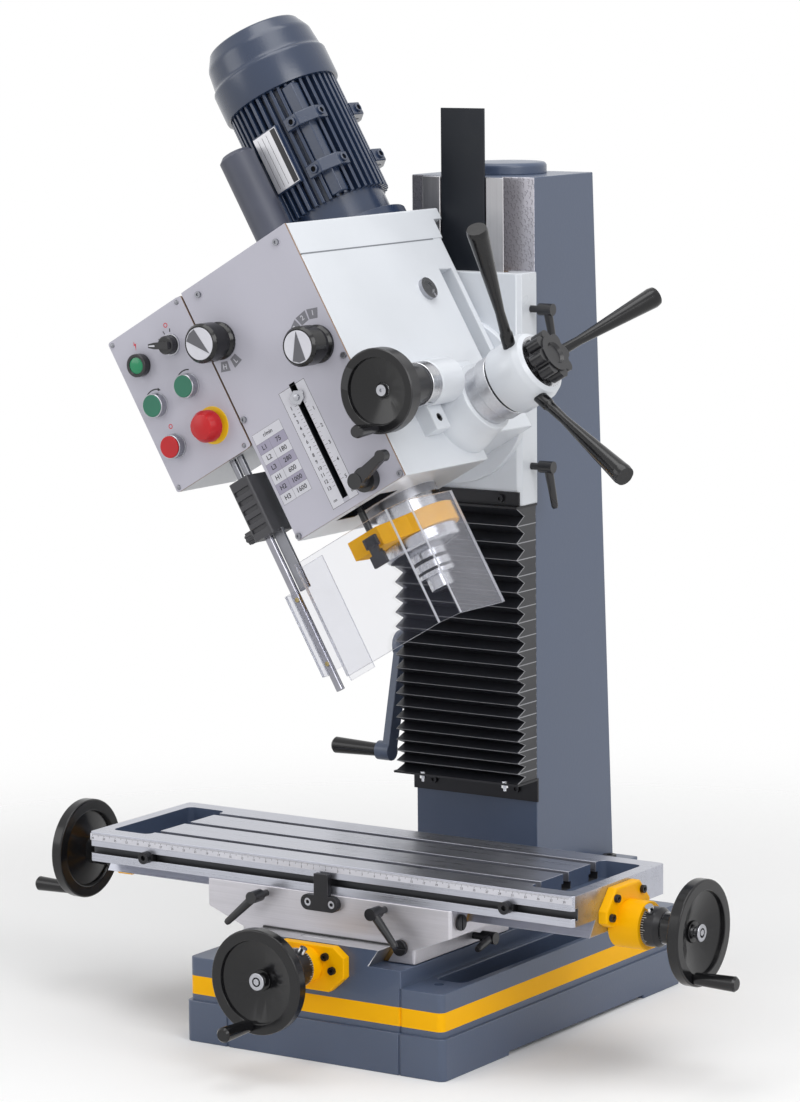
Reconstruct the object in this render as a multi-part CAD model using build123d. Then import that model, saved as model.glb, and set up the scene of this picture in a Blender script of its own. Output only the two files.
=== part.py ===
# Dovetail-column milling and drilling machine, built as separate pieces.
# Machine frame in mm: X to the right, Y to the back, Z up, origin under the middle of the base.

import math
import os

from build123d import *

# Fits shared by all pieces
RUN = 0.05
WAY = 0.05
MESH = 0.15
OPEN = 0.3

# Base casting
BASE_W = 426.0
BASE_D = 640.0
PLINTH_H = 58.0
RIM_H = 119.0
STEP_IN = 4.0
WALL = 14.0
TROUGH_FLOOR = 78.0
TROUGH_W = 46.0
FOOT_RELIEF = 5.0
ANCHOR_X = 173.0
ANCHOR_Y = 268.0
ANCHOR_R = 7.0
SHELF_W = 286.0
SHELF_Z = 143.0
WAY_Z = 167.0
WAY_TOP_W = 214.0
WAY_ROOT_W = 180.0
SEAT_Z = 160.0
SEAT_Y = 84.0

# Column
COL_W = 204.0
COL_FRONT = 101.0
COL_TOP_BACK = 260.0
COL_FOOT_BACK = 314.0
COL_TOP = 1183.0
COL_WALL = 14.0
FOOT_T = 22.0
TAIL_FACE = 75.0
TAIL_W = 135.0
TAIL_ROOT_W = 98.6
TAIL_BOTTOM = 331.0
Z_SCREW_Y = 130.0
Z_SCREW_R = 11.0
CRANK_Z = 500.0
CRANK_ARM = 157.0

# Saddle and table
SADDLE_Y = -161.0
SADDLE_D = 240.0
SADDLE_W = 402.0
TABLE_L = 800.0
TABLE_W = 240.0
TABLE_X = -9.0
TABLE_Y = -158.0
TABLE_Z = 267.0
LIP_T = 42.0
X_TAIL_TOP_W = 128.0
X_TAIL_BOTTOM_W = 158.0
X_TAIL_H = 22.0
SLOT_W = 14.0
SLOT_T_W = 24.0
SLOT_DEPTH = 24.0
SLOT_PITCH = 71.0
X_SCREW_Z = 210.0
X_SCREW_R = 12.0
Y_SCREW_Z = 138.0
Y_SCREW_R = 10.0
WHEEL_R = 72.0
GIB_T = 8.0

# Head slide and bellows
SLIDE_W = 210.0
SLIDE_FRONT = 56.0
SLIDE_Z0 = 726.0
SLIDE_Z1 = 1052.0
SWIVEL_Z = 872.0
SWIVEL_R = 118.0
SWIVEL_T = 10.0
BOLT_RING_R = 85.0
FOLDS = 20
BELLOWS_W = 206.0
BELLOWS_FRONT = 48.0
BELLOWS_FOLD = 18.0

# Head, in its own frame: u right, Y back, v up, turned about Y at the swivel
TILT = 30.0
HEAD_W = 202.0
HEAD_FRONT = -302.0
HEAD_TOP = 204.0
HEAD_BOTTOM = -127.0
COVER_TOP = 252.0
PANEL_T = 3.0
SPINDLE_Y = -185.0
QUILL_R = 42.5
QUILL_TRAVEL = 130.0
SPINDLE_R = 17.5
GEAR_M = 2.5
FEED_V = -55.0
PINION_TEETH = 18
WORM_V = -17.0
WORM_R = 10.0
MOTOR_TEETH = 28
COUNTER_TEETH = 43
COUNTER_PINION_TEETH = 26
SLEEVE_TEETH = 38
FLOOR_V = 90.0
BOX_W = 140.0
GUARD_Y = -300.0

# Sizes that follow from those above
HEAD_REAR = SLIDE_FRONT - SWIVEL_T
FEED_Y = SPINDLE_Y + QUILL_R + GEAR_M * PINION_TEETH / 2
COUNTER_Y = SPINDLE_Y + GEAR_M * (COUNTER_PINION_TEETH + SLEEVE_TEETH) / 2
MOTOR_Y = COUNTER_Y + GEAR_M * (MOTOR_TEETH + COUNTER_TEETH) / 2
LIP_Z = TABLE_Z - LIP_T
X_TAIL_Z = LIP_Z - X_TAIL_H
SADDLE_TOP = LIP_Z - WAY
BODY_X = BASE_W / 2 - STEP_IN
BODY_Y = BASE_D / 2 - STEP_IN
FOOT_X = SHELF_W / 2 - 0.5
WORM_U = HEAD_W / 2 + 36
BOX_U1 = -HEAD_W / 2 - 6
BOX_U0 = BOX_U1 - BOX_W
GUARD_U = BOX_U1 - 37
PANEL_FACE = HEAD_FRONT - PANEL_T
ON_HEAD = Pos(0, 0, SWIVEL_Z) * Rot(0, -TILT, 0)
nodes = {}


# Shape helpers
def block(x0, x1, y0, y1, z0, z1):
    middle = Pos((x0 + x1) / 2, (y0 + y1) / 2, (z0 + z1) / 2)
    return middle * Box(x1 - x0, y1 - y0, z1 - z0)


def rod_x(r, x0, x1, y, z):
    return Pos((x0 + x1) / 2, y, z) * Rot(0, 90, 0) * Cylinder(r, x1 - x0)


def rod_y(r, y0, y1, x, z):
    return Pos(x, (y0 + y1) / 2, z) * Rot(90, 0, 0) * Cylinder(r, y1 - y0)


def rod_z(r, z0, z1, x, y):
    return Pos(x, y, (z0 + z1) / 2) * Cylinder(r, z1 - z0)


def prism_x(points, x0, x1):
    face = Face(Wire.make_polygon([(x0, y, z) for y, z in points]))
    return extrude(face, amount=x1 - x0, dir=(1, 0, 0))


def prism_y(points, y0, y1):
    face = Face(Wire.make_polygon([(x, y0, z) for x, z in points]))
    return extrude(face, amount=y1 - y0, dir=(0, 1, 0))


def prism_z(points, z0, z1):
    face = Face(Wire.make_polygon([(x, y, z0) for x, y in points]))
    return extrude(face, amount=z1 - z0, dir=(0, 0, 1))


def turned(profile):
    face = Face(Wire.make_polygon([(r, 0, h) for r, h in profile]))
    return revolve(face, axis=Axis.Z)


def facing(x, y, z, direction):
    return Plane(origin=(x, y, z), z_dir=direction).location


def toothed(teeth, module, z0, z1, bore):
    # Teeth stop just short of the pitch line, so meshing pieces clear at every angle
    pitch = module * teeth / 2
    tip = pitch - MESH
    root = pitch - 2.2 * module
    points = []
    for i in range(teeth):
        for share, radius in ((-0.36, root), (-0.2, tip), (0.2, tip), (0.36, root)):
            angle = 2 * math.pi * (i + share) / teeth
            points.append((radius * math.cos(angle), radius * math.sin(angle)))
    return prism_z(points, z0, z1) - rod_z(bore, z0 - 1, z1 + 1, 0, 0)


def lever_arm(p0, p1, w0, w1):
    # Outline of a tapered flat arm between two points
    dx = p1[0] - p0[0]
    dz = p1[1] - p0[1]
    length = math.hypot(dx, dz)
    nx = -dz / length
    nz = dx / length
    return [(p0[0] + nx * w0, p0[1] + nz * w0), (p0[0] - nx * w0, p0[1] - nz * w0),
            (p1[0] - nx * w1, p1[1] - nz * w1), (p1[0] + nx * w1, p1[1] + nz * w1)]


def group(*solids):
    out = []
    for item in solids:
        out.extend(item.solids())
    return Compound(out)


def cap_screw(r, length, head_r, head_h):
    # Socket head screw along +Z, underside of the head at zero, shank below
    body = rod_z(r, -length, 0, 0, 0) + rod_z(head_r, 0, head_h, 0, 0)
    socket = extrude(RegularPolygon(head_r * 0.5, 6), amount=head_h)
    return body - Pos(0, 0, head_h * 0.45) * socket


def handwheel(radius, hub_r, bore, web, back, front):
    # Dished wheel along +Z: hub from zero to the web, flat rim from back to front
    edge = radius * 0.79
    profile = [(bore, 0), (hub_r, 0), (hub_r, web - 6), (edge - 3, back + 4), (edge - 1, back),
               (radius - 1.5, back), (radius, back + 1.5), (radius, front - 1.5), (radius - 1.5, front),
               (edge, front), (edge - 1.2, front - 6), (hub_r, web), (bore, web)]
    return turned(profile)


def grip(length, r_root, r_tip, pin_r):
    # Revolving handle along +Z, a little thicker at its tip, with its pin hole
    profile = [(pin_r + RUN, 0), (r_root - 1, 0), (r_root, 1.5), (r_tip, length - 3), (r_tip - 2.5, length),
               (0, length), (0, length - 8), (pin_r + RUN, length - 8)]
    return turned(profile)


def end_cap(radius):
    # Socket cap that holds a wheel on its shaft
    cap = turned([(0, 0), (radius + 3, 0), (radius + 3, 2), (8, 3), (8, 12.5), (6.5, 14), (0, 14)])
    return cap - Pos(0, 0, 7) * extrude(RegularPolygon(4, 6), amount=8)


def thumb_screw():
    return rod_z(2, 21, 28, 0, 0) + rod_z(5.5, 27.6, 36, 0, 0)


# Base casting: plinth, tray, troughs, shelf and the long dovetail way
def make_base():
    shell = extrude(RectangleRounded(BASE_W, BASE_D, 10), amount=PLINTH_H)
    shell += Pos(0, 0, PLINTH_H) * extrude(RectangleRounded(2 * BODY_X, 2 * BODY_Y, 10),
                                           amount=RIM_H - PLINTH_H)
    shell += block(-SHELF_W / 2, SHELF_W / 2, -BODY_Y, SEAT_Y + 1, RIM_H - 1, SHELF_Z)
    shell += block(-SHELF_W / 2 - 6, SHELF_W / 2 + 6, SEAT_Y, BODY_Y, RIM_H - 1, SEAT_Z)
    way = [(-WAY_TOP_W / 2, WAY_Z), (WAY_TOP_W / 2, WAY_Z), (WAY_ROOT_W / 2, SHELF_Z),
           (WAY_ROOT_W / 2, SHELF_Z - 1), (-WAY_ROOT_W / 2, SHELF_Z - 1), (-WAY_ROOT_W / 2, SHELF_Z)]
    shell += prism_y(way, -BODY_Y, SEAT_Y)
    low = TROUGH_FLOOR - WALL
    shell -= block(-BASE_W / 2 + WALL, BASE_W / 2 - WALL, -BASE_D / 2 + WALL, BASE_D / 2 - WALL, -1, low)
    shell -= block(-SHELF_W / 2 + WALL, SHELF_W / 2 - WALL, -BODY_Y + WALL + 2, BODY_Y - WALL, low - 1, 96)
    shell -= block(-SHELF_W / 2 + WALL, SHELF_W / 2 - WALL, SEAT_Y + WALL, BODY_Y - WALL, 95, SEAT_Z - 22)
    for side in (-1, 1):
        middle = side * (SHELF_W / 2 + 6 + TROUGH_W / 2 + 3)
        trough = RectangleRounded(TROUGH_W, BASE_D * 0.77, 12)
        shell -= Pos(middle, 0, TROUGH_FLOOR) * extrude(trough, amount=60)
        for end in (-1, 1):
            shell += rod_z(22, 0, low + 1, side * ANCHOR_X, end * ANCHOR_Y)
            shell -= rod_z(ANCHOR_R, -1, RIM_H + 1, side * ANCHOR_X, end * ANCHOR_Y)
        seam = side * (SHELF_W / 2 - 1)
        shell -= block(seam - 1.5, seam + 1.5, -BASE_D / 2 - 1, -BASE_D / 2 + 2, -1, PLINTH_H + 1)
        shell -= block(seam - 1.5, seam + 1.5, -BODY_Y - 1, -BODY_Y + 2, PLINTH_H, RIM_H)
    shell -= block(-BASE_W / 2 - 1, BASE_W / 2 + 1, -154, 211, -1, FOOT_RELIEF)
    shell -= block(-32, 32, -BODY_Y + 18, SEAT_Y - 9, 108, WAY_Z + 1)
    shell -= rod_y(Y_SCREW_R + 2, -BODY_Y - 1, -BODY_Y + 20, 0, Y_SCREW_Z)
    for x, z in BRACKET_Y_SCREWS:
        shell -= rod_y(3.0, -BODY_Y - 1, -BODY_Y + 14, x, z)
    for x, y in FOOT_BOLTS:
        shell -= rod_z(6.0, SEAT_Z - 20, SEAT_Z + 1, x, y)
    return shell


# Column: tapered box, dovetail, screw channel, crank boss and foot flange
def make_column():
    outer = [(COL_FRONT, SEAT_Z), (COL_FOOT_BACK, SEAT_Z), (COL_TOP_BACK, COL_TOP), (COL_FRONT, COL_TOP)]
    body = prism_x(outer, -COL_W / 2, COL_W / 2)
    body += block(-COL_W / 2 - 40, COL_W / 2 + 40, SEAT_Y + 6, BODY_Y, SEAT_Z, SEAT_Z + FOOT_T)
    inner = [(COL_FRONT + COL_WALL, SEAT_Z - 1), (COL_FOOT_BACK - COL_WALL, SEAT_Z - 1),
             (COL_TOP_BACK - COL_WALL, COL_TOP - 18), (COL_FRONT + COL_WALL, COL_TOP - 18)]
    body -= prism_x(inner, -COL_W / 2 + COL_WALL, COL_W / 2 - COL_WALL)
    tail = [(-TAIL_W / 2, TAIL_FACE), (TAIL_W / 2, TAIL_FACE), (TAIL_ROOT_W / 2, COL_FRONT),
            (TAIL_ROOT_W / 2, COL_FRONT + 1), (-TAIL_ROOT_W / 2, COL_FRONT + 1),
            (-TAIL_ROOT_W / 2, COL_FRONT)]
    body += prism_z(tail, TAIL_BOTTOM, COL_TOP)
    body -= block(-38, 38, TAIL_FACE - 1, TAIL_FACE + 14, TAIL_BOTTOM + 20, COL_TOP + 1)
    body -= block(-26, 26, TAIL_FACE, COL_FRONT + COL_WALL + 1, TAIL_BOTTOM + 30, COL_TOP - 18)
    body += rod_x(Z_SCREW_Y - COL_FRONT - 2, -COL_W / 2 - 24, -COL_W / 2 + 4, Z_SCREW_Y, CRANK_Z)
    body -= rod_x(12 + RUN, -COL_W / 2 - 30, -COL_W / 2 + 20, Z_SCREW_Y, CRANK_Z)
    shelf = block(-40, 40, COL_FRONT + 4, Z_SCREW_Y + 30, CRANK_Z - 72, CRANK_Z - 42)
    body += shelf - block(-26, 26, 0, COL_FRONT + COL_WALL, 0, COL_TOP)
    body -= rod_z(Z_SCREW_R + RUN, CRANK_Z - 100, CRANK_Z - 30, 0, Z_SCREW_Y)
    body -= rod_z(9 + RUN, COL_TOP - 30, COL_TOP + 1, 0, Z_SCREW_Y)
    body -= rod_z(30, COL_TOP - 30, COL_TOP + 1, 0, CAP_Y)
    for x, y in FOOT_BOLTS:
        body -= rod_z(6.6, SEAT_Z - 1, SEAT_Z + FOOT_T + 1, x, y)
    for x in (-70, 70):
        body -= rod_y(3.0, COL_FRONT - 1, COL_FRONT + 10, x, TAIL_BOTTOM - 18)
    return body


FOOT_BOLTS = [(side * (COL_W / 2 + 22), y) for side in (-1, 1) for y in (120, 193, 266)]
BRACKET_Y_SCREWS = [(side * x, z) for side in (-1, 1) for x, z in ((31, 152), (42, 134))]
CAP_Y = 190.0
nodes["base_casting"] = make_base()
nodes["column"] = make_column()
cap = rod_z(58, COL_TOP, COL_TOP + 16, 0, CAP_Y)
cap = fillet(cap.edges().group_by(Axis.Z)[-1], 6)
nodes["column_cap"] = cap + rod_z(30 - OPEN, COL_TOP - 12, COL_TOP, 0, CAP_Y)

# Bracket that carries the front end of the cross screw
Y_PLATE_T = 14.0
outline = [(-35, 103), (35, 103), (60, 125), (60, 153), (43, 166), (-43, 166), (-60, 153), (-60, 125)]
plate = prism_y(outline, -BODY_Y - Y_PLATE_T, -BODY_Y)
plate += rod_y(25, -BODY_Y - 36, -BODY_Y - Y_PLATE_T + 1, 0, Y_SCREW_Z)
plate -= rod_y(Y_SCREW_R + RUN, -BODY_Y - 40, -BODY_Y + 1, 0, Y_SCREW_Z)
for x, z in BRACKET_Y_SCREWS:
    plate -= rod_y(3.3, -BODY_Y - 25, -BODY_Y + 1, x, z)
nodes["y_feed_bracket"] = plate

# Lower bellows plate, hung on the column front
lower = block(-105, 105, 45, COL_FRONT, TAIL_BOTTOM - 3, TAIL_BOTTOM)
lower += block(-105, 105, COL_FRONT - 3, COL_FRONT, TAIL_BOTTOM - 34, TAIL_BOTTOM - 2)
for x in (-70, 70):
    lower -= rod_y(3.3, COL_FRONT - 4, COL_FRONT + 1, x, TAIL_BOTTOM - 18)
nodes["bellows_lower_plate"] = lower

fasteners = []
for x, y in FOOT_BOLTS:
    fasteners.append(Pos(x, y, SEAT_Z + FOOT_T) * cap_screw(6.0, FOOT_T + 18, 10, 10))
for x, z in BRACKET_Y_SCREWS:
    fasteners.append(facing(x, -BODY_Y - Y_PLATE_T, z, (0, -1, 0)) * cap_screw(3.0, 26, 5.5, 5))
for x in (-70, 70):
    fasteners.append(facing(x, COL_FRONT - 3, TAIL_BOTTOM - 18, (0, -1, 0)) * cap_screw(3.0, 12, 5.5, 4))
nodes["frame_fasteners"] = group(*fasteners)

# Cross feed: screw, dial, wheel and its revolving handle
Y_HUB = -BODY_Y - 79
WEB = 40.0
RIM_BACK = 40.0
RIM_FRONT = 57.0
screw = rod_y(Y_SCREW_R, Y_HUB - WEB, SEAT_Y - 14, 0, Y_SCREW_Z)
y_place = facing(0, Y_HUB, Y_SCREW_Z, (0, -1, 0))
wheel = y_place * handwheel(WHEEL_R, 21, Y_SCREW_R, WEB, RIM_BACK, RIM_FRONT)
dial = y_place * turned([(Y_SCREW_R, -42.7), (27, -42.7), (27, -18), (22, -10), (22, 0), (Y_SCREW_R, 0)])
thumb_at = facing(0, Y_HUB + 32, Y_SCREW_Z, (0.5, 0, 0.866))
dial -= thumb_at * rod_z(2, 20, 30, 0, 0)
cap = y_place * Pos(0, 0, WEB) * end_cap(11)
Y_GRIP_AT = (-10.0, Y_SCREW_Z - WHEEL_R * 0.83)
wheel += rod_y(4, Y_HUB - RIM_FRONT - 52, Y_HUB - RIM_BACK - 5, *Y_GRIP_AT)
nodes["y_feed_screw"] = group(screw, wheel, dial, thumb_at * thumb_screw(), cap)
grip_at = facing(Y_GRIP_AT[0], Y_HUB - RIM_FRONT - OPEN, Y_GRIP_AT[1], (0, -1, 0))
nodes["y_grip"] = grip_at * grip(62, 8.5, 10.5, 4)


# Saddle: wings, the two female dovetails, screw grooves and lock holes
def make_saddle():
    y0 = SADDLE_Y - SADDLE_D / 2
    y1 = SADDLE_Y + SADDLE_D / 2
    half = SADDLE_W / 2
    foot = FOOT_X
    outline = [(half, SADDLE_TOP), (half, 187), (foot, 164), (foot, SHELF_Z + 1),
               (-foot, SHELF_Z + 1), (-foot, 164), (-half, 187), (-half, SADDLE_TOP)]
    body = prism_y(outline, y0, y1)
    body = chamfer(body.edges().filter_by(Axis.Z).group_by(Axis.Y)[0], 3)
    slope = (WAY_TOP_W - WAY_ROOT_W) / 2 / (WAY_Z - SHELF_Z)
    drop = WAY_Z + WAY - SHELF_Z
    left = WAY_TOP_W / 2 + WAY
    right = WAY_TOP_W / 2 + GIB_T + 2 * WAY
    body -= prism_y([(-left, WAY_Z + WAY), (right, WAY_Z + WAY), (right - slope * drop, SHELF_Z),
                     (-left + slope * drop, SHELF_Z)], y0 - 1, y1 + 1)
    top = X_TAIL_TOP_W / 2
    low = X_TAIL_BOTTOM_W / 2
    floor = X_TAIL_Z - 0.5
    lean = (low - top) / X_TAIL_H
    body -= prism_x([(TABLE_Y + top + WAY, SADDLE_TOP + 1), (TABLE_Y + low + WAY + lean * 0.5, floor),
                     (TABLE_Y - low - WAY * 2 - GIB_T - lean * 0.5, floor),
                     (TABLE_Y - top - WAY * 2 - GIB_T, SADDLE_TOP + 1)], -half - 1, half + 1)
    body -= rod_x(X_SCREW_R + 3, -half - 1, half + 1, TABLE_Y, X_SCREW_Z)
    for x, z in X_LOCKS:
        body -= rod_y(5 + RUN, y0 - 1, TABLE_Y - low - GIB_T - 1, x, z)
    body -= rod_x(5 + RUN, WAY_TOP_W / 2 + 1, foot + 1, Y_LOCK_AT[0], Y_LOCK_AT[1])
    for x, z in STOP_SCREWS:
        body -= rod_y(3.0, y0 - 1, y0 + 12, x, z)
    return body


X_LOCKS = [(-101.0, 215.0), (95.0, 215.0)]
Y_LOCK_AT = (-132.0, 155.0)
STOP_SCREWS = [(-26.5, 213.0), (12.5, 213.0)]
SADDLE_FRONT = SADDLE_Y - SADDLE_D / 2
nodes["saddle"] = make_saddle()

# Bronze nuts and the two gib strips carried by the saddle
slope = (WAY_TOP_W - WAY_ROOT_W) / 2 / (WAY_Z - SHELF_Z)
drop = WAY_Z + WAY - (SHELF_Z + 1)
inner = WAY_TOP_W / 2 + WAY
y_gib = prism_y([(inner, WAY_Z + WAY), (inner + GIB_T + WAY, WAY_Z + WAY),
                 (inner + GIB_T + WAY - slope * drop, SHELF_Z + 1), (inner - slope * drop, SHELF_Z + 1)],
                SADDLE_FRONT + 1, SADDLE_FRONT + SADDLE_D - 1)
top = X_TAIL_TOP_W / 2
low = X_TAIL_BOTTOM_W / 2
lean = (low - top) / X_TAIL_H
x_gib = prism_x([(TABLE_Y - top - WAY, SADDLE_TOP), (TABLE_Y - top - 2 * WAY - GIB_T, SADDLE_TOP),
                 (TABLE_Y - low - 2 * WAY - GIB_T - lean * 0.5, X_TAIL_Z - 0.5),
                 (TABLE_Y - low - WAY - lean * 0.5, X_TAIL_Z - 0.5)], -SADDLE_W / 2 + 1, SADDLE_W / 2 - 1)
x_gib -= block(-SADDLE_W, SADDLE_W, -400, 0, 0, X_TAIL_Z - 0.3)
y_gib -= block(0, 400, -400, 0, 0, SHELF_Z + 1.2)
x_nut = block(-30, 30, TABLE_Y - 22, TABLE_Y + 22, X_TAIL_Z - 0.5, X_TAIL_Z + 28)
x_nut -= rod_x(X_SCREW_R + RUN, -40, 40, TABLE_Y, X_SCREW_Z)
y_nut = block(-26, 26, SADDLE_Y - 25, SADDLE_Y + 25, 114, WAY_Z + WAY)
y_nut -= rod_y(Y_SCREW_R + RUN, SADDLE_Y - 40, SADDLE_Y + 40, 0, Y_SCREW_Z)
front_screw = rod_y(11, SADDLE_FRONT - 6, SADDLE_FRONT, 121, 166)
front_screw -= block(109, 133, SADDLE_FRONT - 7, SADDLE_FRONT - 4, 165, 167)
side_screw = rod_x(11, SADDLE_W / 2, SADDLE_W / 2 + 5, SADDLE_FRONT + 22, 206)
side_screw -= block(SADDLE_W / 2 + 3, SADDLE_W / 2 + 6, SADDLE_FRONT + 21, SADDLE_FRONT + 23, 190, 220)
nodes["saddle_nuts_and_gibs"] = group(x_nut, y_nut, x_gib, y_gib, front_screw, side_screw)

# Stop block on the saddle front, reaching up to the table groove
stop = block(-26.5, 12.5, SADDLE_FRONT - 9, SADDLE_FRONT, 202, 224)
stop += block(-15.5, 7.5, SADDLE_FRONT - 9, SADDLE_FRONT, 215, 254)
for x, z in STOP_SCREWS:
    stop += rod_y(11, SADDLE_FRONT - 9, SADDLE_FRONT, x, z)
for x, z in STOP_SCREWS:
    stop -= rod_y(3.3, SADDLE_FRONT - 10, SADDLE_FRONT + 1, x, z)
    stop -= rod_y(5.8, SADDLE_FRONT - 10, SADDLE_FRONT - 4, x, z)
screws = [facing(x, SADDLE_FRONT - 4, z, (0, -1, 0)) * cap_screw(3.0, 15, 5.5, 4) for x, z in STOP_SCREWS]
nodes["table_stop_block"] = group(stop, *screws)


# Clamp levers with a stud, a hub and a tapered arm that leans outward
def lock_lever(axis_at, tip, stud, reach):
    # Local frame: pivot on Z, outward up, tip given in the local plane
    along = Vector(tip[0], tip[1], 9)
    arm = turned([(0, 0), (6.5, 0), (4.8, along.length - 3), (3.5, along.length), (0, along.length)])
    body = rod_z(5, -stud, reach - 15, 0, 0) + rod_z(8.5, reach - 22, reach, 0, 0)
    body += Plane(origin=(0, 0, reach - 9), z_dir=along).location * arm
    return axis_at * body


left_at = Plane(origin=(X_LOCKS[0][0], SADDLE_FRONT, X_LOCKS[0][1]), x_dir=(1, 0, 0), z_dir=(0, -1, 0))
right_at = Plane(origin=(X_LOCKS[1][0], SADDLE_FRONT, X_LOCKS[1][1]), x_dir=(1, 0, 0), z_dir=(0, -1, 0))
lock_stud = TABLE_Y - low - GIB_T - 2 - SADDLE_FRONT
nodes["x_lock_left"] = lock_lever(left_at.location, (-42, -40), lock_stud, 37)
nodes["x_lock_right"] = lock_lever(right_at.location, (42, -40), lock_stud, 37)
side_at = Plane(origin=(FOOT_X, Y_LOCK_AT[0], Y_LOCK_AT[1]), x_dir=(0, 1, 0), z_dir=(1, 0, 0))
nodes["y_lock"] = lock_lever(side_at.location, (-48, -6), FOOT_X - 120, 36)


# Table with three tee slots, end troughs, front dog groove and dovetail
def make_table():
    x0 = TABLE_X - TABLE_L / 2
    x1 = TABLE_X + TABLE_L / 2
    y0 = TABLE_Y - TABLE_W / 2
    y1 = TABLE_Y + TABLE_W / 2
    body = block(x0, x1, y0, y1, LIP_Z, TABLE_Z)
    body = chamfer(body.edges().filter_by(Axis.Z), 4)
    tail = [(TABLE_Y - X_TAIL_TOP_W / 2, LIP_Z + 1), (TABLE_Y + X_TAIL_TOP_W / 2, LIP_Z + 1),
            (TABLE_Y + X_TAIL_TOP_W / 2, LIP_Z), (TABLE_Y + X_TAIL_BOTTOM_W / 2, X_TAIL_Z),
            (TABLE_Y - X_TAIL_BOTTOM_W / 2, X_TAIL_Z), (TABLE_Y - X_TAIL_TOP_W / 2, LIP_Z)]
    body += prism_x(tail, x0, x1)
    body -= block(x0 - 1, x1 + 1, TABLE_Y - 25, TABLE_Y + 25, X_TAIL_Z - 1, X_TAIL_Z + 33)
    trough = TABLE_W / 2 - 27
    for side in (-1, 1):
        middle = TABLE_X + side * (TABLE_L / 2 - 52)
        pocket = RectangleRounded(64, 2 * trough, 10)
        body -= Pos(middle, TABLE_Y, TABLE_Z - SLOT_DEPTH) * extrude(pocket, amount=60)
    run = TABLE_L / 2 - 52
    for i in (-1, 0, 1):
        y = TABLE_Y + i * SLOT_PITCH
        body -= block(TABLE_X - run, TABLE_X + run, y - SLOT_W / 2, y + SLOT_W / 2,
                      TABLE_Z - SLOT_DEPTH, TABLE_Z + 1)
        body -= block(TABLE_X - run, TABLE_X + run, y - SLOT_T_W / 2, y + SLOT_T_W / 2,
                      TABLE_Z - SLOT_DEPTH, TABLE_Z - SLOT_DEPTH + 10)
    body -= block(x0 - 1, x1 + 1, y0 - 1, y0 + 6, DOG_Z - 5, DOG_Z + 5)
    body -= block(x0 - 1, x1 + 1, y0 + 5, y0 + 11, DOG_Z - 8, DOG_Z + 8)
    for x, y, z in BRACKET_X_SCREWS:
        end = x1 if x > 0 else x0
        body -= rod_x(3.0, end - 14, end + 14, y, z)
    return body


DOG_Z = TABLE_Z - 25.5
DOG_X = 298.0
BRACKET_X_SCREWS = [(side, TABLE_Y + y, z) for side in (-1, 1)
                    for y, z in ((-34, 250), (34, 250), (-47, 226), (47, 226))]
nodes["table"] = make_table()

# End brackets, bearing bosses and their screws; the left boss is shorter
X_BOSS = {-1: 25.0, 1: 46.0}
pieces = []
for side in (-1, 1):
    face = TABLE_X + side * TABLE_L / 2
    corners = ((-31, 263), (31, 263), (57, 235), (57, 219), (44, 212), (-44, 212), (-57, 219), (-57, 235))
    outline = [(TABLE_Y + y, z) for y, z in corners]
    out = face + side * 14
    plate = prism_x(outline, min(face, out), max(face, out))
    plate = chamfer(plate.faces().sort_by(Axis.X)[-1 if side > 0 else 0].edges(), 2)
    boss = face + side * X_BOSS[side]
    plate += rod_x(33, min(face, boss), max(face, boss), TABLE_Y, X_SCREW_Z)
    plate -= rod_x(X_SCREW_R + RUN, min(face, boss) - 5, max(face, boss) + 5, TABLE_Y, X_SCREW_Z)
    for at, y, z in BRACKET_X_SCREWS:
        if at == side:
            plate -= rod_x(3.3, min(face, out) - 2, max(face, out) + 2, y, z)
            place = facing(out, y, z, (side, 0, 0))
            pieces.append(place * cap_screw(3.0, 26, 5.5, 5))
    pieces.append(plate)
nodes["x_brackets"] = group(*pieces)


# Stop dogs that slide in the front groove
def make_dog(x):
    y0 = TABLE_Y - TABLE_W / 2
    body = rod_y(8.5, y0 - 11, y0 - OPEN, x, DOG_Z)
    body += block(x - 9, x + 9, y0 - 1, y0 + 6, DOG_Z - 5 + WAY, DOG_Z + 5 - WAY)
    body += block(x - 9, x + 9, y0 + 6 - 0.5, y0 + 10.7, DOG_Z - 7.8, DOG_Z + 7.8)
    return body - facing(x, y0 - 6, DOG_Z, (0, -1, 0)) * extrude(RegularPolygon(4, 6), amount=6)


nodes["stop_dog_left"] = make_dog(TABLE_X - DOG_X)
nodes["stop_dog_right"] = make_dog(TABLE_X + DOG_X)

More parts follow.
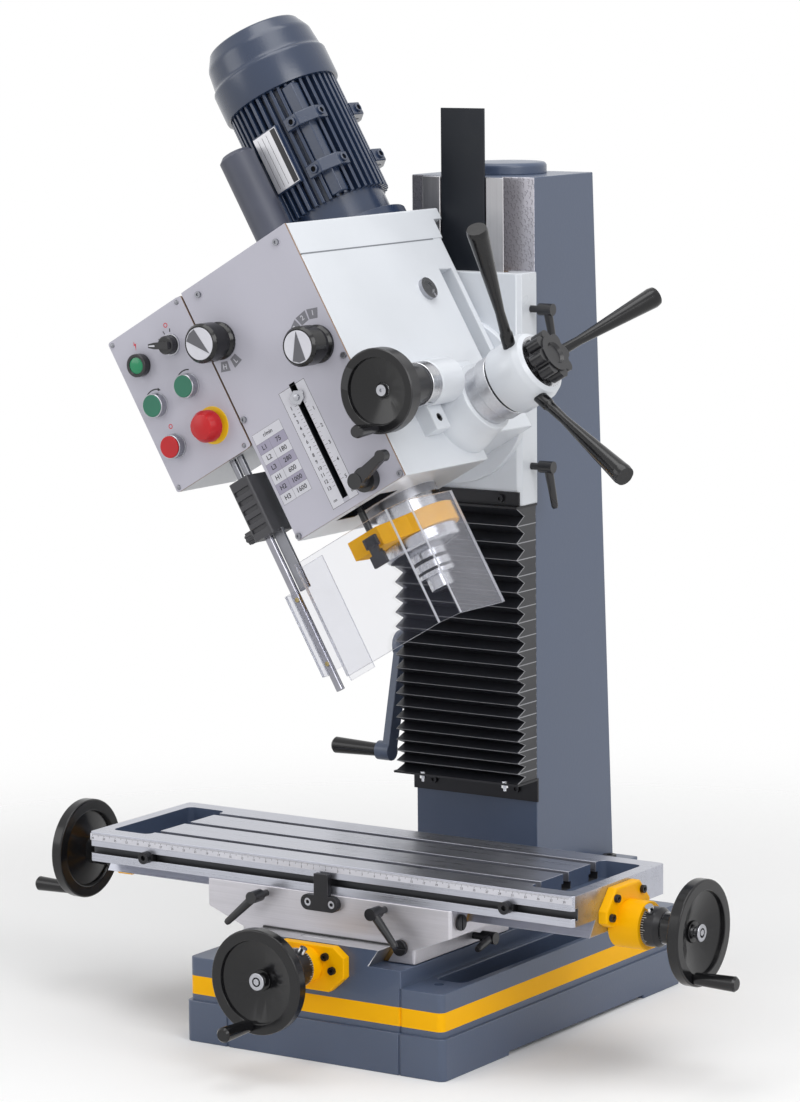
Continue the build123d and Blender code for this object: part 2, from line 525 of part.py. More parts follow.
# Long feed: screw right through the table, a dial and wheel at each end
X_HUB = {side: TABLE_L / 2 + X_BOSS[side] + 26 for side in (-1, 1)}
nodes["x_screw"] = rod_x(X_SCREW_R, TABLE_X - X_HUB[-1] - WEB, TABLE_X + X_HUB[1] + WEB, TABLE_Y, X_SCREW_Z)
wheels = []
for side in (-1, 1):
    hub_x = TABLE_X + side * X_HUB[side]
    place = facing(hub_x, TABLE_Y, X_SCREW_Z, (side, 0, 0))
    thumb_at = facing(hub_x - side * 17, TABLE_Y, X_SCREW_Z, (0, -0.5, 0.866))
    ring = place * turned([(X_SCREW_R, -25.7), (27, -25.7), (27, -8), (22, 0), (X_SCREW_R, 0)])
    ring -= thumb_at * rod_z(2, 20, 30, 0, 0)
    wheel = place * handwheel(WHEEL_R, 21, X_SCREW_R, WEB, RIM_BACK, RIM_FRONT)
    at_y = TABLE_Y - 24
    at_z = X_SCREW_Z - WHEEL_R * 0.78
    wheel += facing(hub_x + side * (RIM_BACK + 5), at_y, at_z, (side, 0, 0)) * rod_z(4, 0, 64, 0, 0)
    cap = place * Pos(0, 0, WEB) * end_cap(12)
    wheels += [ring, thumb_at * thumb_screw(), cap, wheel]
    handle = facing(hub_x + side * (RIM_FRONT + OPEN), at_y, at_z, (side, 0, 0))
    nodes["x_grip_right" if side > 0 else "x_grip_left"] = handle * grip(62, 8.5, 10.5, 4)
nodes["x_handwheels"] = group(*wheels)

# Column crank with its bevel pinion, and the vertical screw with its bevel gear
ARM_X = -COL_W / 2 - 42
GRIP_Y = Z_SCREW_Y - CRANK_ARM * 0.255
GRIP_Z = CRANK_Z - CRANK_ARM * 0.967
shaft = rod_x(12, ARM_X - 6, -29, Z_SCREW_Y, CRANK_Z)
arm = prism_x(lever_arm((Z_SCREW_Y, CRANK_Z), (GRIP_Y, GRIP_Z), 15, 11), ARM_X - 5, ARM_X + 7)
arm += rod_x(20, ARM_X - 6, ARM_X + 17, Z_SCREW_Y, CRANK_Z)
arm += rod_x(14, ARM_X - 16, ARM_X + 7, GRIP_Y, GRIP_Z)
crank = shaft + arm + rod_x(4.5, ARM_X - 85, ARM_X, GRIP_Y, GRIP_Z)
slant = 0.34
pinion = facing(0, Z_SCREW_Y, CRANK_Z, (-1, 0, 0)) * turned(
    [(0, 15), (7 - slant, 15), (14 - slant, 28), (14 - slant, 29), (0, 29)])
nodes["z_crank"] = group(crank, pinion)
nodes["z_crank_grip"] = facing(ARM_X - 16.3, GRIP_Y, GRIP_Z, (-1, 0, 0)) * grip(78, 9.5, 12, 4.5)
stem = rod_z(Z_SCREW_R, CRANK_Z - 70, COL_TOP - 34, 0, Z_SCREW_Y)
stem += rod_z(9, COL_TOP - 35, COL_TOP - 3, 0, Z_SCREW_Y)
gear = turned([(Z_SCREW_R, -41.7), (24, -41.7), (24, -22), (28 - slant, -16), (28 - slant, -14 - slant),
               (15, -7.5 - slant), (Z_SCREW_R, -7.5 - slant)])
nodes["z_screw"] = group(stem, Pos(0, Z_SCREW_Y, CRANK_Z) * gear)


# Head slide: wraps the column dovetail and carries the swivel disc
def tail_width(y):
    share = (y - TAIL_FACE) / (COL_FRONT - TAIL_FACE)
    return (TAIL_W + share * (TAIL_ROOT_W - TAIL_W)) / 2


def make_slide():
    back = COL_FRONT - 0.4
    body = block(-SLIDE_W / 2, SLIDE_W / 2, SLIDE_FRONT, back, SLIDE_Z0, SLIDE_Z1)
    body = chamfer(body.edges().filter_by(Axis.Z).group_by(Axis.Y)[0], 6)
    face = TAIL_FACE - WAY
    cut = [(-tail_width(face) - WAY, face), (tail_width(face) + GIB_T + 2 * WAY, face),
           (tail_width(back + 1) + GIB_T + 2 * WAY, back + 1), (-tail_width(back + 1) - WAY, back + 1)]
    body -= prism_z(cut, SLIDE_Z0 - 1, SLIDE_Z1 + 1)
    body += rod_y(SWIVEL_R, HEAD_REAR, SLIDE_FRONT + 1, 0, SWIVEL_Z)
    body -= RING_AT * turned([(BOLT_RING_R - 6.5, -1), (BOLT_RING_R + 6.5, -1), (BOLT_RING_R + 6.5, 9),
                              (BOLT_RING_R - 6.5, 9)])
    body -= RING_AT * turned([(BOLT_RING_R - 12, 8), (BOLT_RING_R + 12, 8), (BOLT_RING_R + 12, 18),
                              (BOLT_RING_R - 12, 18)])
    for z in Z_LOCKS:
        body -= rod_x(5 + RUN, tail_width(Z_LOCK_Y) + GIB_T + 1, SLIDE_W / 2 + 1, Z_LOCK_Y, z)
    for x in (-74, 74):
        body -= rod_y(3.0, SLIDE_FRONT - 1, SLIDE_FRONT + 10, x, SLIDE_Z0 + 10)
    return body


RING_AT = facing(0, HEAD_REAR, SWIVEL_Z, (0, 1, 0))
Z_LOCKS = (1001.0, 780.0)
Z_LOCK_Y = 86.0
nodes["head_slide"] = make_slide()

face = TAIL_FACE - WAY
back = COL_FRONT - 0.4
z_gib = prism_z([(tail_width(face) + WAY, face), (tail_width(face) + GIB_T + 2 * WAY, face),
                 (tail_width(back) + GIB_T + 2 * WAY, back), (tail_width(back) + WAY, back)],
                SLIDE_Z0 + 1, SLIDE_Z1 - 1)
z_nut = block(-22, 22, face, Z_SCREW_Y + 22, SLIDE_Z0 + 20, SLIDE_Z0 + 76)
z_nut -= rod_z(Z_SCREW_R + RUN, SLIDE_Z0, SLIDE_Z0 + 100, 0, Z_SCREW_Y)
plate_screws = [facing(x, SLIDE_FRONT - 3, SLIDE_Z0 + 10, (0, -1, 0)) * cap_screw(3.0, 12, 5.5, 4)
                for x in (-74, 74)]
nodes["slide_fittings"] = group(z_nut, z_gib, *plate_screws)
nodes["way_cover"] = block(-36, 36, face, face + 3, SLIDE_Z1 - 60, COL_TOP + 96)

upper = block(-105, 105, 45, COL_FRONT - 1, SLIDE_Z0 - 3, SLIDE_Z0)
upper -= block(-TAIL_W / 2 - 14, TAIL_W / 2 + 14, TAIL_FACE - 3, COL_FRONT + 1, SLIDE_Z0 - 4, SLIDE_Z0 + 1)
upper += block(-104, 104, SLIDE_FRONT - 3, SLIDE_FRONT, SLIDE_Z0 - 1, SLIDE_Z0 + 20)
for x in (-74, 74):
    upper -= rod_y(3.3, SLIDE_FRONT - 4, SLIDE_FRONT + 1, x, SLIDE_Z0 + 10)
nodes["bellows_upper_plate"] = upper


# Folded bellows: a pleated wall in a C, close folds at the bottom and wider ones at the top
def bellows_section(z, depth):
    w = BELLOWS_W / 2 - depth * 0.28
    y = BELLOWS_FRONT + depth
    end = COL_FRONT - 1.5
    t = 1.2
    points = [(-w, end), (-w, y), (w, y), (w, end),
              (w - t, end), (w - t, y + t), (-w + t, y + t), (-w + t, end)]
    return Face(Wire.make_polygon([(px, py, z) for px, py in points]))


sections = []
bottom = TAIL_BOTTOM
height = SLIDE_Z0 - 3 - bottom
for i in range(2 * FOLDS + 1):
    t = i / (2 * FOLDS)
    share = 0.72 * t + 0.28 * t * t
    sections.append(bellows_section(bottom + height * share, BELLOWS_FOLD * (i % 2)))
nodes["bellows"] = loft(sections, ruled=True)

upper_at = Plane(origin=(SLIDE_W / 2, Z_LOCK_Y, Z_LOCKS[0]), x_dir=(0, 1, 0), z_dir=(1, 0, 0))
lower_at = Plane(origin=(SLIDE_W / 2, Z_LOCK_Y, Z_LOCKS[1]), x_dir=(0, 1, 0), z_dir=(1, 0, 0))
z_stud = SLIDE_W / 2 - tail_width(Z_LOCK_Y - 5) - GIB_T - 1
nodes["z_lock_upper"] = lock_lever(upper_at.location, (4, -58), z_stud, 36)
nodes["z_lock_lower"] = lock_lever(lower_at.location, (4, -58), z_stud, 36)


# Head casting: gearbox, quill bore, feed and worm bosses, swivel flange
def make_head():
    half = HEAD_W / 2
    body = block(-half, half, HEAD_FRONT, HEAD_REAR, HEAD_BOTTOM, HEAD_TOP)
    body -= block(-half - 1, half + 1, -100, HEAD_REAR + 1, HEAD_BOTTOM - 1, HEAD_BOTTOM + 35)
    body = fillet(body.edges().filter_by(Axis.Z).group_by(Axis.Y)[-1], 8)
    boss = turned([(0, -4), (60, -4), (60, 6), (52, 30), (49, 51), (0, 51)])
    body += facing(half, FEED_Y, FEED_V, (1, 0, 0)) * boss
    body += rod_y(31, -222, FEED_Y - 48, WORM_U, WORM_V)
    body += block(half - 4, PLUG_U, -220, -186, -80, WORM_V)
    body -= rod_x(6, PLUG_U - 8, PLUG_U + 1, *PLUG_AT)
    body += rod_y(WORM_R + 5, FEED_Y - 49, -92, WORM_U, WORM_V)
    body += block(half - 4, WORM_U, -222, -92, WORM_V - 23, WORM_V + 23)
    for side in (-1, 1):
        lo, hi = sorted((side * 56, side * (half + 1)))
        body -= block(lo, hi, 1, HEAD_REAR - 15, -60, 157)
    body -= block(-half + 12, half - 12, HEAD_FRONT + 12, -12, FLOOR_V, HEAD_TOP + 1)
    body -= block(-48, 48, -13, MOTOR_Y + 38, FLOOR_V, HEAD_TOP + 1)
    body -= block(-48, 48, -74, HEAD_REAR + 1, -60, 62)
    body -= rod_z(QUILL_R + RUN, HEAD_BOTTOM - 1, FLOOR_V + 1, 0, SPINDLE_Y)
    body -= block(-40, 40, HEAD_FRONT + 12, -245, HEAD_BOTTOM - 1, 72)
    body -= block(-6, 6, HEAD_FRONT - 1, HEAD_FRONT + 13, HEAD_BOTTOM + 14, 66)
    body -= rod_x(FEED_BORE, -22, WORM_U + 16, FEED_Y, FEED_V)
    body -= rod_x(14 + RUN, -70, -20, FEED_Y, FEED_V)
    body -= rod_x(WHEEL_TEETH_R + 2, WORM_U - 14, WORM_U + 14, FEED_Y, FEED_V)
    body -= rod_y(WORM_R, -223, -100, WORM_U, WORM_V)
    body -= rod_z(12 + RUN, FLOOR_V - 16, FLOOR_V + 1, 0, COUNTER_Y)
    for u, v in KNOBS:
        body -= rod_y(8 + RUN, HEAD_FRONT - 1, HEAD_FRONT + 18, u, v)
    body -= rod_y(7 + RUN, HEAD_FRONT - 1, HEAD_FRONT + 50, QUILL_LOCK_AT[0], QUILL_LOCK_AT[1])
    for angle in RING_ANGLES:
        u = BOLT_RING_R * math.cos(math.radians(angle))
        v = BOLT_RING_R * math.sin(math.radians(angle))
        body -= rod_y(6.3, HEAD_REAR - 16, HEAD_REAR + 1, u, v)
    for u, v in PANEL_SCREWS:
        if v < HEAD_TOP:
            body -= rod_y(2.5, HEAD_FRONT - 1, HEAD_FRONT + 9, u, v)
    return body


PLUG_U = HEAD_W / 2 + 23
PLUG_AT = (-203.0, -63.0)
KNOBS = [(-75.0, 165.0), (66.0, 87.0)]
QUILL_LOCK_AT = (47.0, -105.0)
RING_ANGLES = (30, 150, 210, 330)
PANEL_EDGE = HEAD_W / 2 - 6
PANEL_SCREWS = [(side * u, v) for side in (-1, 1)
                for u, v in ((75, 236), (PANEL_EDGE, 55), (PANEL_EDGE, -121))]
FEED_BORE = GEAR_M * PINION_TEETH / 2 + 1.0
WHEEL_TEETH_R = WORM_V - FEED_V - WORM_R
nodes["head_casting"] = ON_HEAD * make_head()

half = HEAD_W / 2
cover = block(-half, half, HEAD_FRONT, HEAD_REAR, HEAD_TOP, COVER_TOP)
cover += block(-half, half, HEAD_REAR - 1, TAIL_FACE - 9, COVER_TOP - 19, COVER_TOP)
cover = fillet(cover.edges().filter_by(Axis.Y).group_by(Axis.Z)[-1], 5)
cover -= block(-half + 12, half - 12, HEAD_FRONT + 12, MOTOR_Y + 38, HEAD_TOP - 1, COVER_TOP - 8)
cover -= rod_z(18, COVER_TOP - 10, COVER_TOP + 1, 0, MOTOR_Y)
cover -= rod_y(2.5, HEAD_FRONT - 1, HEAD_FRONT + 9, 75, 236)
cover -= rod_y(2.5, HEAD_FRONT - 1, HEAD_FRONT + 9, -75, 236)
nodes["head_cover"] = ON_HEAD * cover

panel = block(-half + 1, half - 1, PANEL_FACE, HEAD_FRONT, HEAD_BOTTOM + 1, COVER_TOP - 1)
panel -= block(-5, 5, PANEL_FACE - 1, HEAD_FRONT + 1, HEAD_BOTTOM + 18, 62)
for u, v in KNOBS:
    panel -= rod_y(8.5, PANEL_FACE - 1, HEAD_FRONT + 1, u, v)
panel -= rod_y(7.5, PANEL_FACE - 1, HEAD_FRONT + 1, QUILL_LOCK_AT[0], QUILL_LOCK_AT[1])
for u, v in PANEL_SCREWS:
    panel -= rod_y(2.8, PANEL_FACE - 1, HEAD_FRONT + 1, u, v)
nodes["front_panel"] = ON_HEAD * panel

# Small fittings fixed to the head: screws, sight glass, lamp, swivel bolts, bush and seal
LAMP_AT = (BOX_U1 - 103, 198.0)
fittings = []
for u, v in PANEL_SCREWS:
    fittings.append(facing(u, PANEL_FACE, v, (0, -1, 0)) * cap_screw(2.5, 11, 4.5, 2.6))
for angle in RING_ANGLES:
    u = BOLT_RING_R * math.cos(math.radians(angle))
    v = BOLT_RING_R * math.sin(math.radians(angle))
    bolt = rod_y(6.0, HEAD_REAR - 30, HEAD_REAR + 9, u, v)
    bolt += rod_y(11, HEAD_REAR + 8.3, HEAD_REAR + 17, u, v)
    nut = facing(u, HEAD_REAR - 15, v, (0, -1, 0)) * extrude(RegularPolygon(10, 6), amount=11)
    fittings += [bolt, nut - rod_y(6.0, HEAD_REAR - 40, HEAD_REAR, u, v)]
bush = rod_x(FEED_BORE, 40, 100, FEED_Y, FEED_V) - rod_x(14 + RUN, 39, 101, FEED_Y, FEED_V)
seal = rod_z(52, HEAD_BOTTOM - 12, HEAD_BOTTOM, 0, SPINDLE_Y)
seal -= rod_z(QUILL_R + OPEN, HEAD_BOTTOM - 13, HEAD_BOTTOM + 1, 0, SPINDLE_Y)
seal -= block(-60, 60, -300, -243, HEAD_BOTTOM - 20, HEAD_BOTTOM + 1)
carrier = rod_z(48, FLOOR_V, FLOOR_V + 22, 0, SPINDLE_Y)
carrier -= rod_z(26 + RUN, FLOOR_V - 1, FLOOR_V + 30, 0, SPINDLE_Y)
carrier -= rod_z(14, FLOOR_V - 1, FLOOR_V + 30, 0, COUNTER_Y)
sight = rod_x(16, half, half + 6, -54, 130) - rod_x(10, half + 4, half + 7, -54, 130)
plug = rod_x(6, PLUG_U - 8, PLUG_U - 1, *PLUG_AT)
plug -= facing(PLUG_U - 5, *PLUG_AT, (1, 0, 0)) * extrude(RegularPolygon(3.5, 6), amount=6)
lamp_at = facing(LAMP_AT[0], PANEL_FACE, LAMP_AT[1], (0, -1, 0))
lamp = lamp_at * turned([(0, 0), (15, 0), (15, 3), (11, 5), (11, 9), (8, 12), (0, 12)])
nodes["head_fittings"] = ON_HEAD * group(bush, seal, carrier, sight, plug, lamp, *fittings)


# Control box with a screwed door; the switches pass through the door
def make_box():
    shell = block(BOX_U0, BOX_U1, HEAD_FRONT + 1, -175, 19, 250)
    shell = fillet(shell.edges().filter_by(Axis.Y), 4)
    shell -= block(BOX_U0 + 3, BOX_U1 - 3, HEAD_FRONT, -178, 22, 247)
    shell += block(BOX_U1 - 1, -half, -262, -202, 70, 200)
    for u in HANGER_U:
        shell -= rod_z(5, 18, 23, u, -290)
    door = block(BOX_U0, BOX_U1, PANEL_FACE, HEAD_FRONT + 1, 19, 250)
    door = fillet(door.edges().filter_by(Axis.Y), 4)
    for u, v, r in BOX_HOLES:
        door -= rod_y(r, PANEL_FACE - 1, HEAD_FRONT + 2, u, v)
    return group(shell, door)


HANGER_U = (BOX_U1 - 44, BOX_U1 - 30)
SELECTOR_AT = (BOX_U1 - 44, 199.0)
FORWARD_AT = (BOX_U1 - 46, 137.0)
REVERSE_AT = (BOX_U1 - 107, 138.0)
ESTOP_AT = (BOX_U1 - 38, 72.0)
STOP_AT = (BOX_U1 - 109, 76.0)
BOX_HOLES = [SELECTOR_AT + (8 + RUN,), FORWARD_AT + (11 + RUN,), REVERSE_AT + (11 + RUN,),
             ESTOP_AT + (8 + RUN,), STOP_AT + (11 + RUN,)]
nodes["control_box"] = ON_HEAD * make_box()

# Motor: flange, finned barrel, fan cover, and the capacitor housing on a pad at the front left
CAP_TURN = 247.0
CAP_PAD = 84.0
CAP_OUT = 112.7
fin_points = []
for i in range(44):
    for share, radius in ((-0.3, 70), (-0.2, 81), (0.2, 81), (0.3, 70)):
        angle = 2 * math.pi * (i + share) / 44
        fin_points.append((radius * math.cos(angle), radius * math.sin(angle)))
barrel = prism_z(fin_points, 305, 482) + rod_z(72, 267, 306, 0, 0) + rod_z(89, COVER_TOP, 268, 0, 0)
lug = block(44, 58, 44, 58, 308, 478)
for v in (351, 425):
    lug += block(30, 62, 44, 62, v - 10, v + 10) + block(44, 62, 30, 62, v - 10, v + 10)
    lug -= rod_y(5, 57, 63, 40, v) + rod_x(5, 57, 63, 40, v)
for i in range(4):
    barrel += Rot(0, 0, 90 * i) * lug
barrel += block(-21, 23, -85, -60, 346, 434)
barrel += Rot(0, 0, CAP_TURN) * block(60, CAP_PAD, -14, 8, 300, 400)
barrel -= rod_z(58, 272, 482.5, 0, 0)
barrel -= rod_z(10 + RUN, COVER_TOP - 1, 273, 0, 0)
nodes["motor_housing"] = ON_HEAD * Pos(0, MOTOR_Y, 0) * barrel
fan = turned([(0, 482), (86, 482), (86, 528), (82, 533), (80, 557), (70, 574), (40, 583), (0, 584)])
fan -= turned([(0, 481), (83, 481), (83, 527), (79, 532), (77, 555), (68, 571), (40, 580), (0, 581)])
fan += rod_z(83.5, 482, 486, 0, 0) - rod_z(30, 481, 487, 0, 0)
nodes["fan_cover"] = ON_HEAD * Pos(0, MOTOR_Y, 0) * fan
tank = Pos(CAP_OUT, 0, 0) * turned([(0, 270), (20, 270), (26, 276), (26, 420), (20, 426), (0, 426)])
tank += block(CAP_PAD, CAP_OUT, -14, 8, 300, 400)
nodes["capacitor_housing"] = ON_HEAD * Pos(0, MOTOR_Y, 0) * Rot(0, 0, CAP_TURN) * tank

# Guard switch box hung under the control box, with its clamp knob
switch = block(BOX_U1 - 50, BOX_U1 - 15, -318, -268, -100, -14)
switch = fillet(switch.edges().filter_by(Axis.Z), 5)
for i in range(5):
    v = -86 + 14 * i
    switch -= block(BOX_U1 - 46, BOX_U1 - 19, -319, -315.5, v - 3, v + 3)
switch -= rod_z(6 + RUN, -101, -22, GUARD_U, GUARD_Y)
studs = [rod_z(5, -14, 22, u, -290) + rod_z(6.5, 22, 27, u, -290) for u in HANGER_U]
knob = rod_x(9, BOX_U1 - 66, BOX_U1 - 50, -303, -88)
for i in range(8):
    angle = math.radians(45 * i)
    knob -= rod_x(2.5, BOX_U1 - 67, BOX_U1 - 54, -303 + 10 * math.cos(angle), -88 + 10 * math.sin(angle))
nodes["guard_switch_box"] = ON_HEAD * group(switch, knob, *studs)


# Push buttons, selector, gear knobs and quill lock on the front
def button(at, r, out, stem):
    body = rod_z(r, OPEN + 6, out, 0, 0) + rod_z(stem, -22, 7, 0, 0)
    return facing(at[0], PANEL_FACE, at[1], (0, -1, 0)) * body


nodes["start_forward_button"] = ON_HEAD * button(FORWARD_AT, 15, 10, 11)
nodes["start_reverse_button"] = ON_HEAD * button(REVERSE_AT, 15, 10, 11)
nodes["stop_button"] = ON_HEAD * button(STOP_AT, 15, 11, 11)
mushroom = turned([(0, 6.3), (20, 6.3), (22, 9), (22, 20), (17, 29), (8, 32), (0, 32)])
mushroom += rod_z(8, -22, 7, 0, 0)
nodes["emergency_stop"] = ON_HEAD * facing(ESTOP_AT[0], PANEL_FACE, ESTOP_AT[1], (0, -1, 0)) * mushroom
turn = rod_z(8, -22, 2, 0, 0) + rod_z(13, OPEN, 8, 0, 0) + block(-4, 4, -13, 13, 7, 22)
nodes["selector_switch"] = ON_HEAD * facing(SELECTOR_AT[0], PANEL_FACE, SELECTOR_AT[1], (0, -1, 0)) * turn
for name, at in zip(("gear_knob_left", "gear_knob_right"), KNOBS):
    body = turned([(0, OPEN), (26, OPEN), (26, 5), (23, 9), (23, 14), (27, 20), (27, 44), (24, 48), (0, 48)])
    body += rod_z(8, -20, 1, 0, 0)
    nodes[name] = ON_HEAD * facing(at[0], PANEL_FACE, at[1], (0, -1, 0)) * body
lock = rod_z(7, -50, 1, 0, 0) + rod_z(17, OPEN, 14, 0, 0) + rod_z(11, 13, 36, 0, 0)
lock += prism_z(lever_arm((0, 0), (53, 11), 9, 6), 24, 35)
lock += rod_z(8, 23, 36, 53, 11)
lock_at = Plane(origin=(QUILL_LOCK_AT[0], PANEL_FACE, QUILL_LOCK_AT[1]), x_dir=(1, 0, 0), z_dir=(0, -1, 0))
nodes["quill_lock"] = ON_HEAD * lock_at.location * lock

# Quill with rack and bearings, depth collar with rod and pointer, spindle with arbor
QUILL_V0 = -186.0
QUILL_V1 = 80.0
quill = rod_z(QUILL_R, QUILL_V0, QUILL_V1, 0, SPINDLE_Y) - rod_z(21, QUILL_V0 - 1, QUILL_V1 + 1, 0, SPINDLE_Y)
quill -= rod_z(31, QUILL_V0 - 1, QUILL_V0 + 40, 0, SPINDLE_Y)
quill -= rod_z(31, QUILL_V1 - 26, QUILL_V1 + 1, 0, SPINDLE_Y)
rack_y = SPINDLE_Y + QUILL_R - MESH
quill -= block(-15, 15, rack_y, rack_y + 5, -75, QUILL_V1 - 3)
pitch = math.pi * GEAR_M
for i in range(19):
    v = FEED_V - 2.5 * pitch + i * pitch
    tooth = [(rack_y - 5.5, v - 1.4), (rack_y + 5, v - 3.4), (rack_y + 5, v + 3.4), (rack_y - 5.5, v + 1.4)]
    if v + 4 < QUILL_V1 - 3:
        quill -= prism_x(tooth, -15, 15)
bearings = [rod_z(31, a, b, 0, SPINDLE_Y) - rod_z(SPINDLE_R + RUN, a - 1, b + 1, 0, SPINDLE_Y)
            for a, b in ((QUILL_V0, QUILL_V0 + 40), (QUILL_V1 - 26, QUILL_V1))]
nodes["quill"] = ON_HEAD * group(quill, *bearings)

COLLAR = (QUILL_V0, QUILL_V0 + 27)
ROD_AT = (-15.0, -264.0)
WING_AT = (ROD_AT[0] + 10, COLLAR[0] + 8)
collar = rod_z(60, COLLAR[0], COLLAR[1], 0, SPINDLE_Y)
nose = [(-57, -205), (-49, -276), (4, -276), (30, -237)]
collar += prism_z(nose, COLLAR[0], COLLAR[1])
collar -= rod_z(QUILL_R, COLLAR[0] - 1, COLLAR[1] + 1, 0, SPINDLE_Y)
collar -= rod_z(5, COLLAR[0] - 1, COLLAR[1] + 1, *ROD_AT)
collar -= rod_y(4, -277, ROD_AT[1], WING_AT[0], WING_AT[1])
rod = rod_z(5, COLLAR[0] - 10, 62, *ROD_AT)
wing = rod_y(4, -284, ROD_AT[1], *WING_AT) + rod_y(8, -292, -283, *WING_AT)
for low, high, wide in ((-6, 9, 11), (-16, -6, 7), (-33, -16, 12)):
    wing += block(WING_AT[0] - wide, WING_AT[0] + wide, -291, -285, WING_AT[1] + low, WING_AT[1] + high)
pointer = block(ROD_AT[0] - 9, 4, ROD_AT[1] - 9, ROD_AT[1] + 9, 34, 50)
pointer += block(-4, 4, PANEL_FACE - 2, ROD_AT[1] - 8, 39, 45)
pointer -= rod_z(5, 20, 60, *ROD_AT)
nodes["depth_collar"] = ON_HEAD * group(collar, rod, wing, pointer)

spindle = rod_z(SPINDLE_R, QUILL_V0 - 2, COVER_TOP - 14, 0, SPINDLE_Y)
nose = turned([(0, -OPEN), (54, -OPEN), (54, -15), (51, -18), (30, -23), (0, -23)])
spindle += Pos(0, SPINDLE_Y, QUILL_V0) * nose
arbor = rod_z(26, QUILL_V0 - 58, QUILL_V0 - 23, 0, SPINDLE_Y)
arbor += rod_z(16, QUILL_V0 - 76, QUILL_V0 - 57, 0, SPINDLE_Y)
nodes["spindle"] = ON_HEAD * group(spindle, arbor)

# Gear train: motor rotor, countershaft, spindle sleeve
rotor = rod_z(10, 178, 560, 0, 0) + rod_z(52, 300, 450, 0, 0)
rotor += rod_z(68, 498, 512, 0, 0)
pinion = toothed(MOTOR_TEETH, GEAR_M, 178, 196, 10)
nodes["motor_rotor"] = ON_HEAD * Pos(0, MOTOR_Y, 0) * group(rotor, pinion)
counter = rod_z(12, FLOOR_V - 15, 216, 0, 0)
large = toothed(COUNTER_TEETH, GEAR_M, 178, 196, 12)
small = toothed(COUNTER_PINION_TEETH, GEAR_M, 150, 168, 12)
nodes["countershaft"] = ON_HEAD * Pos(0, COUNTER_Y, 0) * group(counter, large, small)
sleeve = rod_z(26, FLOOR_V + 2, 172, 0, 0) + rod_z(34, FLOOR_V + 22 + OPEN, 149.9, 0, 0)
sleeve -= rod_z(SPINDLE_R + RUN, FLOOR_V, 210, 0, 0)
nodes["drive_sleeve"] = ON_HEAD * Pos(0, SPINDLE_Y, 0) * group(
    sleeve, toothed(SLEEVE_TEETH, GEAR_M, 150, 168, 26))

# Quill feed: pinion shaft, worm wheel, dial, hub, three levers, star knob
HUB0 = WORM_U + 58
HUB1 = HUB0 + 60
feed_at = facing(0, FEED_Y, FEED_V, (1, 0, 0))
shaft = rod_z(14, -69, HUB1, 0, 0) - rod_z(7, HUB1 - 40, HUB1 + 1, 0, 0)
pinion = toothed(PINION_TEETH, GEAR_M, -15, 15, 14)
worm_wheel = rod_z(WHEEL_TEETH_R - MESH, WORM_U - 9, WORM_U + 9, 0, 0) - rod_z(14, 0, 300, 0, 0)
dial = turned([(14, WORM_U + 15 + OPEN), (42, WORM_U + 15 + OPEN), (42, WORM_U + 33), (45, WORM_U + 35),
               (45, HUB0 - 4), (43, HUB0 - 4), (43, HUB0), (14, HUB0)])
hub = turned([(14, HUB0), (47, HUB0), (48.5, HUB0 + 3), (48.5, HUB1 - 14), (44, HUB1 - 4), (38, HUB1),
              (14, HUB1)])
nodes["feed_hub"] = ON_HEAD * feed_at * group(shaft, pinion, worm_wheel, dial, hub)
lever = turned([(0, -12), (9, -12), (9, 22), (7.5, 26), (6.5, 60), (10, 120), (13.5, 178), (14.5, 194),
                (13.5, 200), (0, 200)])
levers = []
for i in range(3):
    turn_to = math.radians(70 + 120 * i)
    radial = (-math.sin(turn_to), math.cos(turn_to))
    start = (44 * radial[0], 44 * radial[1], HUB1 - 18)
    tip = Vector(0.868 * radial[0], 0.868 * radial[1], 0.497)
    levers.append(Plane(origin=start, z_dir=tip).location * lever - hub)
nodes["feed_levers"] = ON_HEAD * feed_at * group(*levers)
star = rod_z(26, HUB1 + OPEN, HUB1 + 26, 0, 0) + rod_z(7 - RUN, HUB1 - 36, HUB1 + 1, 0, 0)
for i in range(8):
    angle = math.radians(45 * i)
    star += rod_z(9, HUB1 + 4, HUB1 + 24, 26 * math.cos(angle), 26 * math.sin(angle))
star -= turned([(0, HUB1 + 22), (13, HUB1 + 22), (17, HUB1 + 27), (0, HUB1 + 27)])
nodes["star_knob"] = ON_HEAD * feed_at * star

# Fine feed: worm shaft, dial, collar, small wheel with a fixed handle
worm = rod_y(WORM_R - RUN, PANEL_FACE - 17, -104, WORM_U, WORM_V)
fine_at = facing(WORM_U, PANEL_FACE - 5, WORM_V, (0, -1, 0))
small = handwheel(57, 15, WORM_R - RUN, 12, 6, 28)
knob = turned([(0, 20), (5.5, 20), (5.5, 30), (7, 42), (9, 72), (7.5, 76), (0, 76)])
small = fine_at * small + Pos(WORM_U - 25, PANEL_FACE - 5, WORM_V - 42) * Rot(90, 0, 0) * knob
washer = fine_at * (rod_z(7.5, 12, 16, 0, 0) - rod_z(2.5, 14, 17, 0, 0))
ring = rod_y(30, -244, -222 - OPEN, WORM_U, WORM_V) - rod_y(WORM_R - RUN, -245, -221, WORM_U, WORM_V)
sleeve = rod_y(27, PANEL_FACE - 5, -244, WORM_U, WORM_V)
sleeve -= rod_y(WORM_R - RUN, PANEL_FACE - 6, -243, WORM_U, WORM_V)
nodes["fine_feed_wheel"] = ON_HEAD * group(worm, small, ring, sleeve, washer)

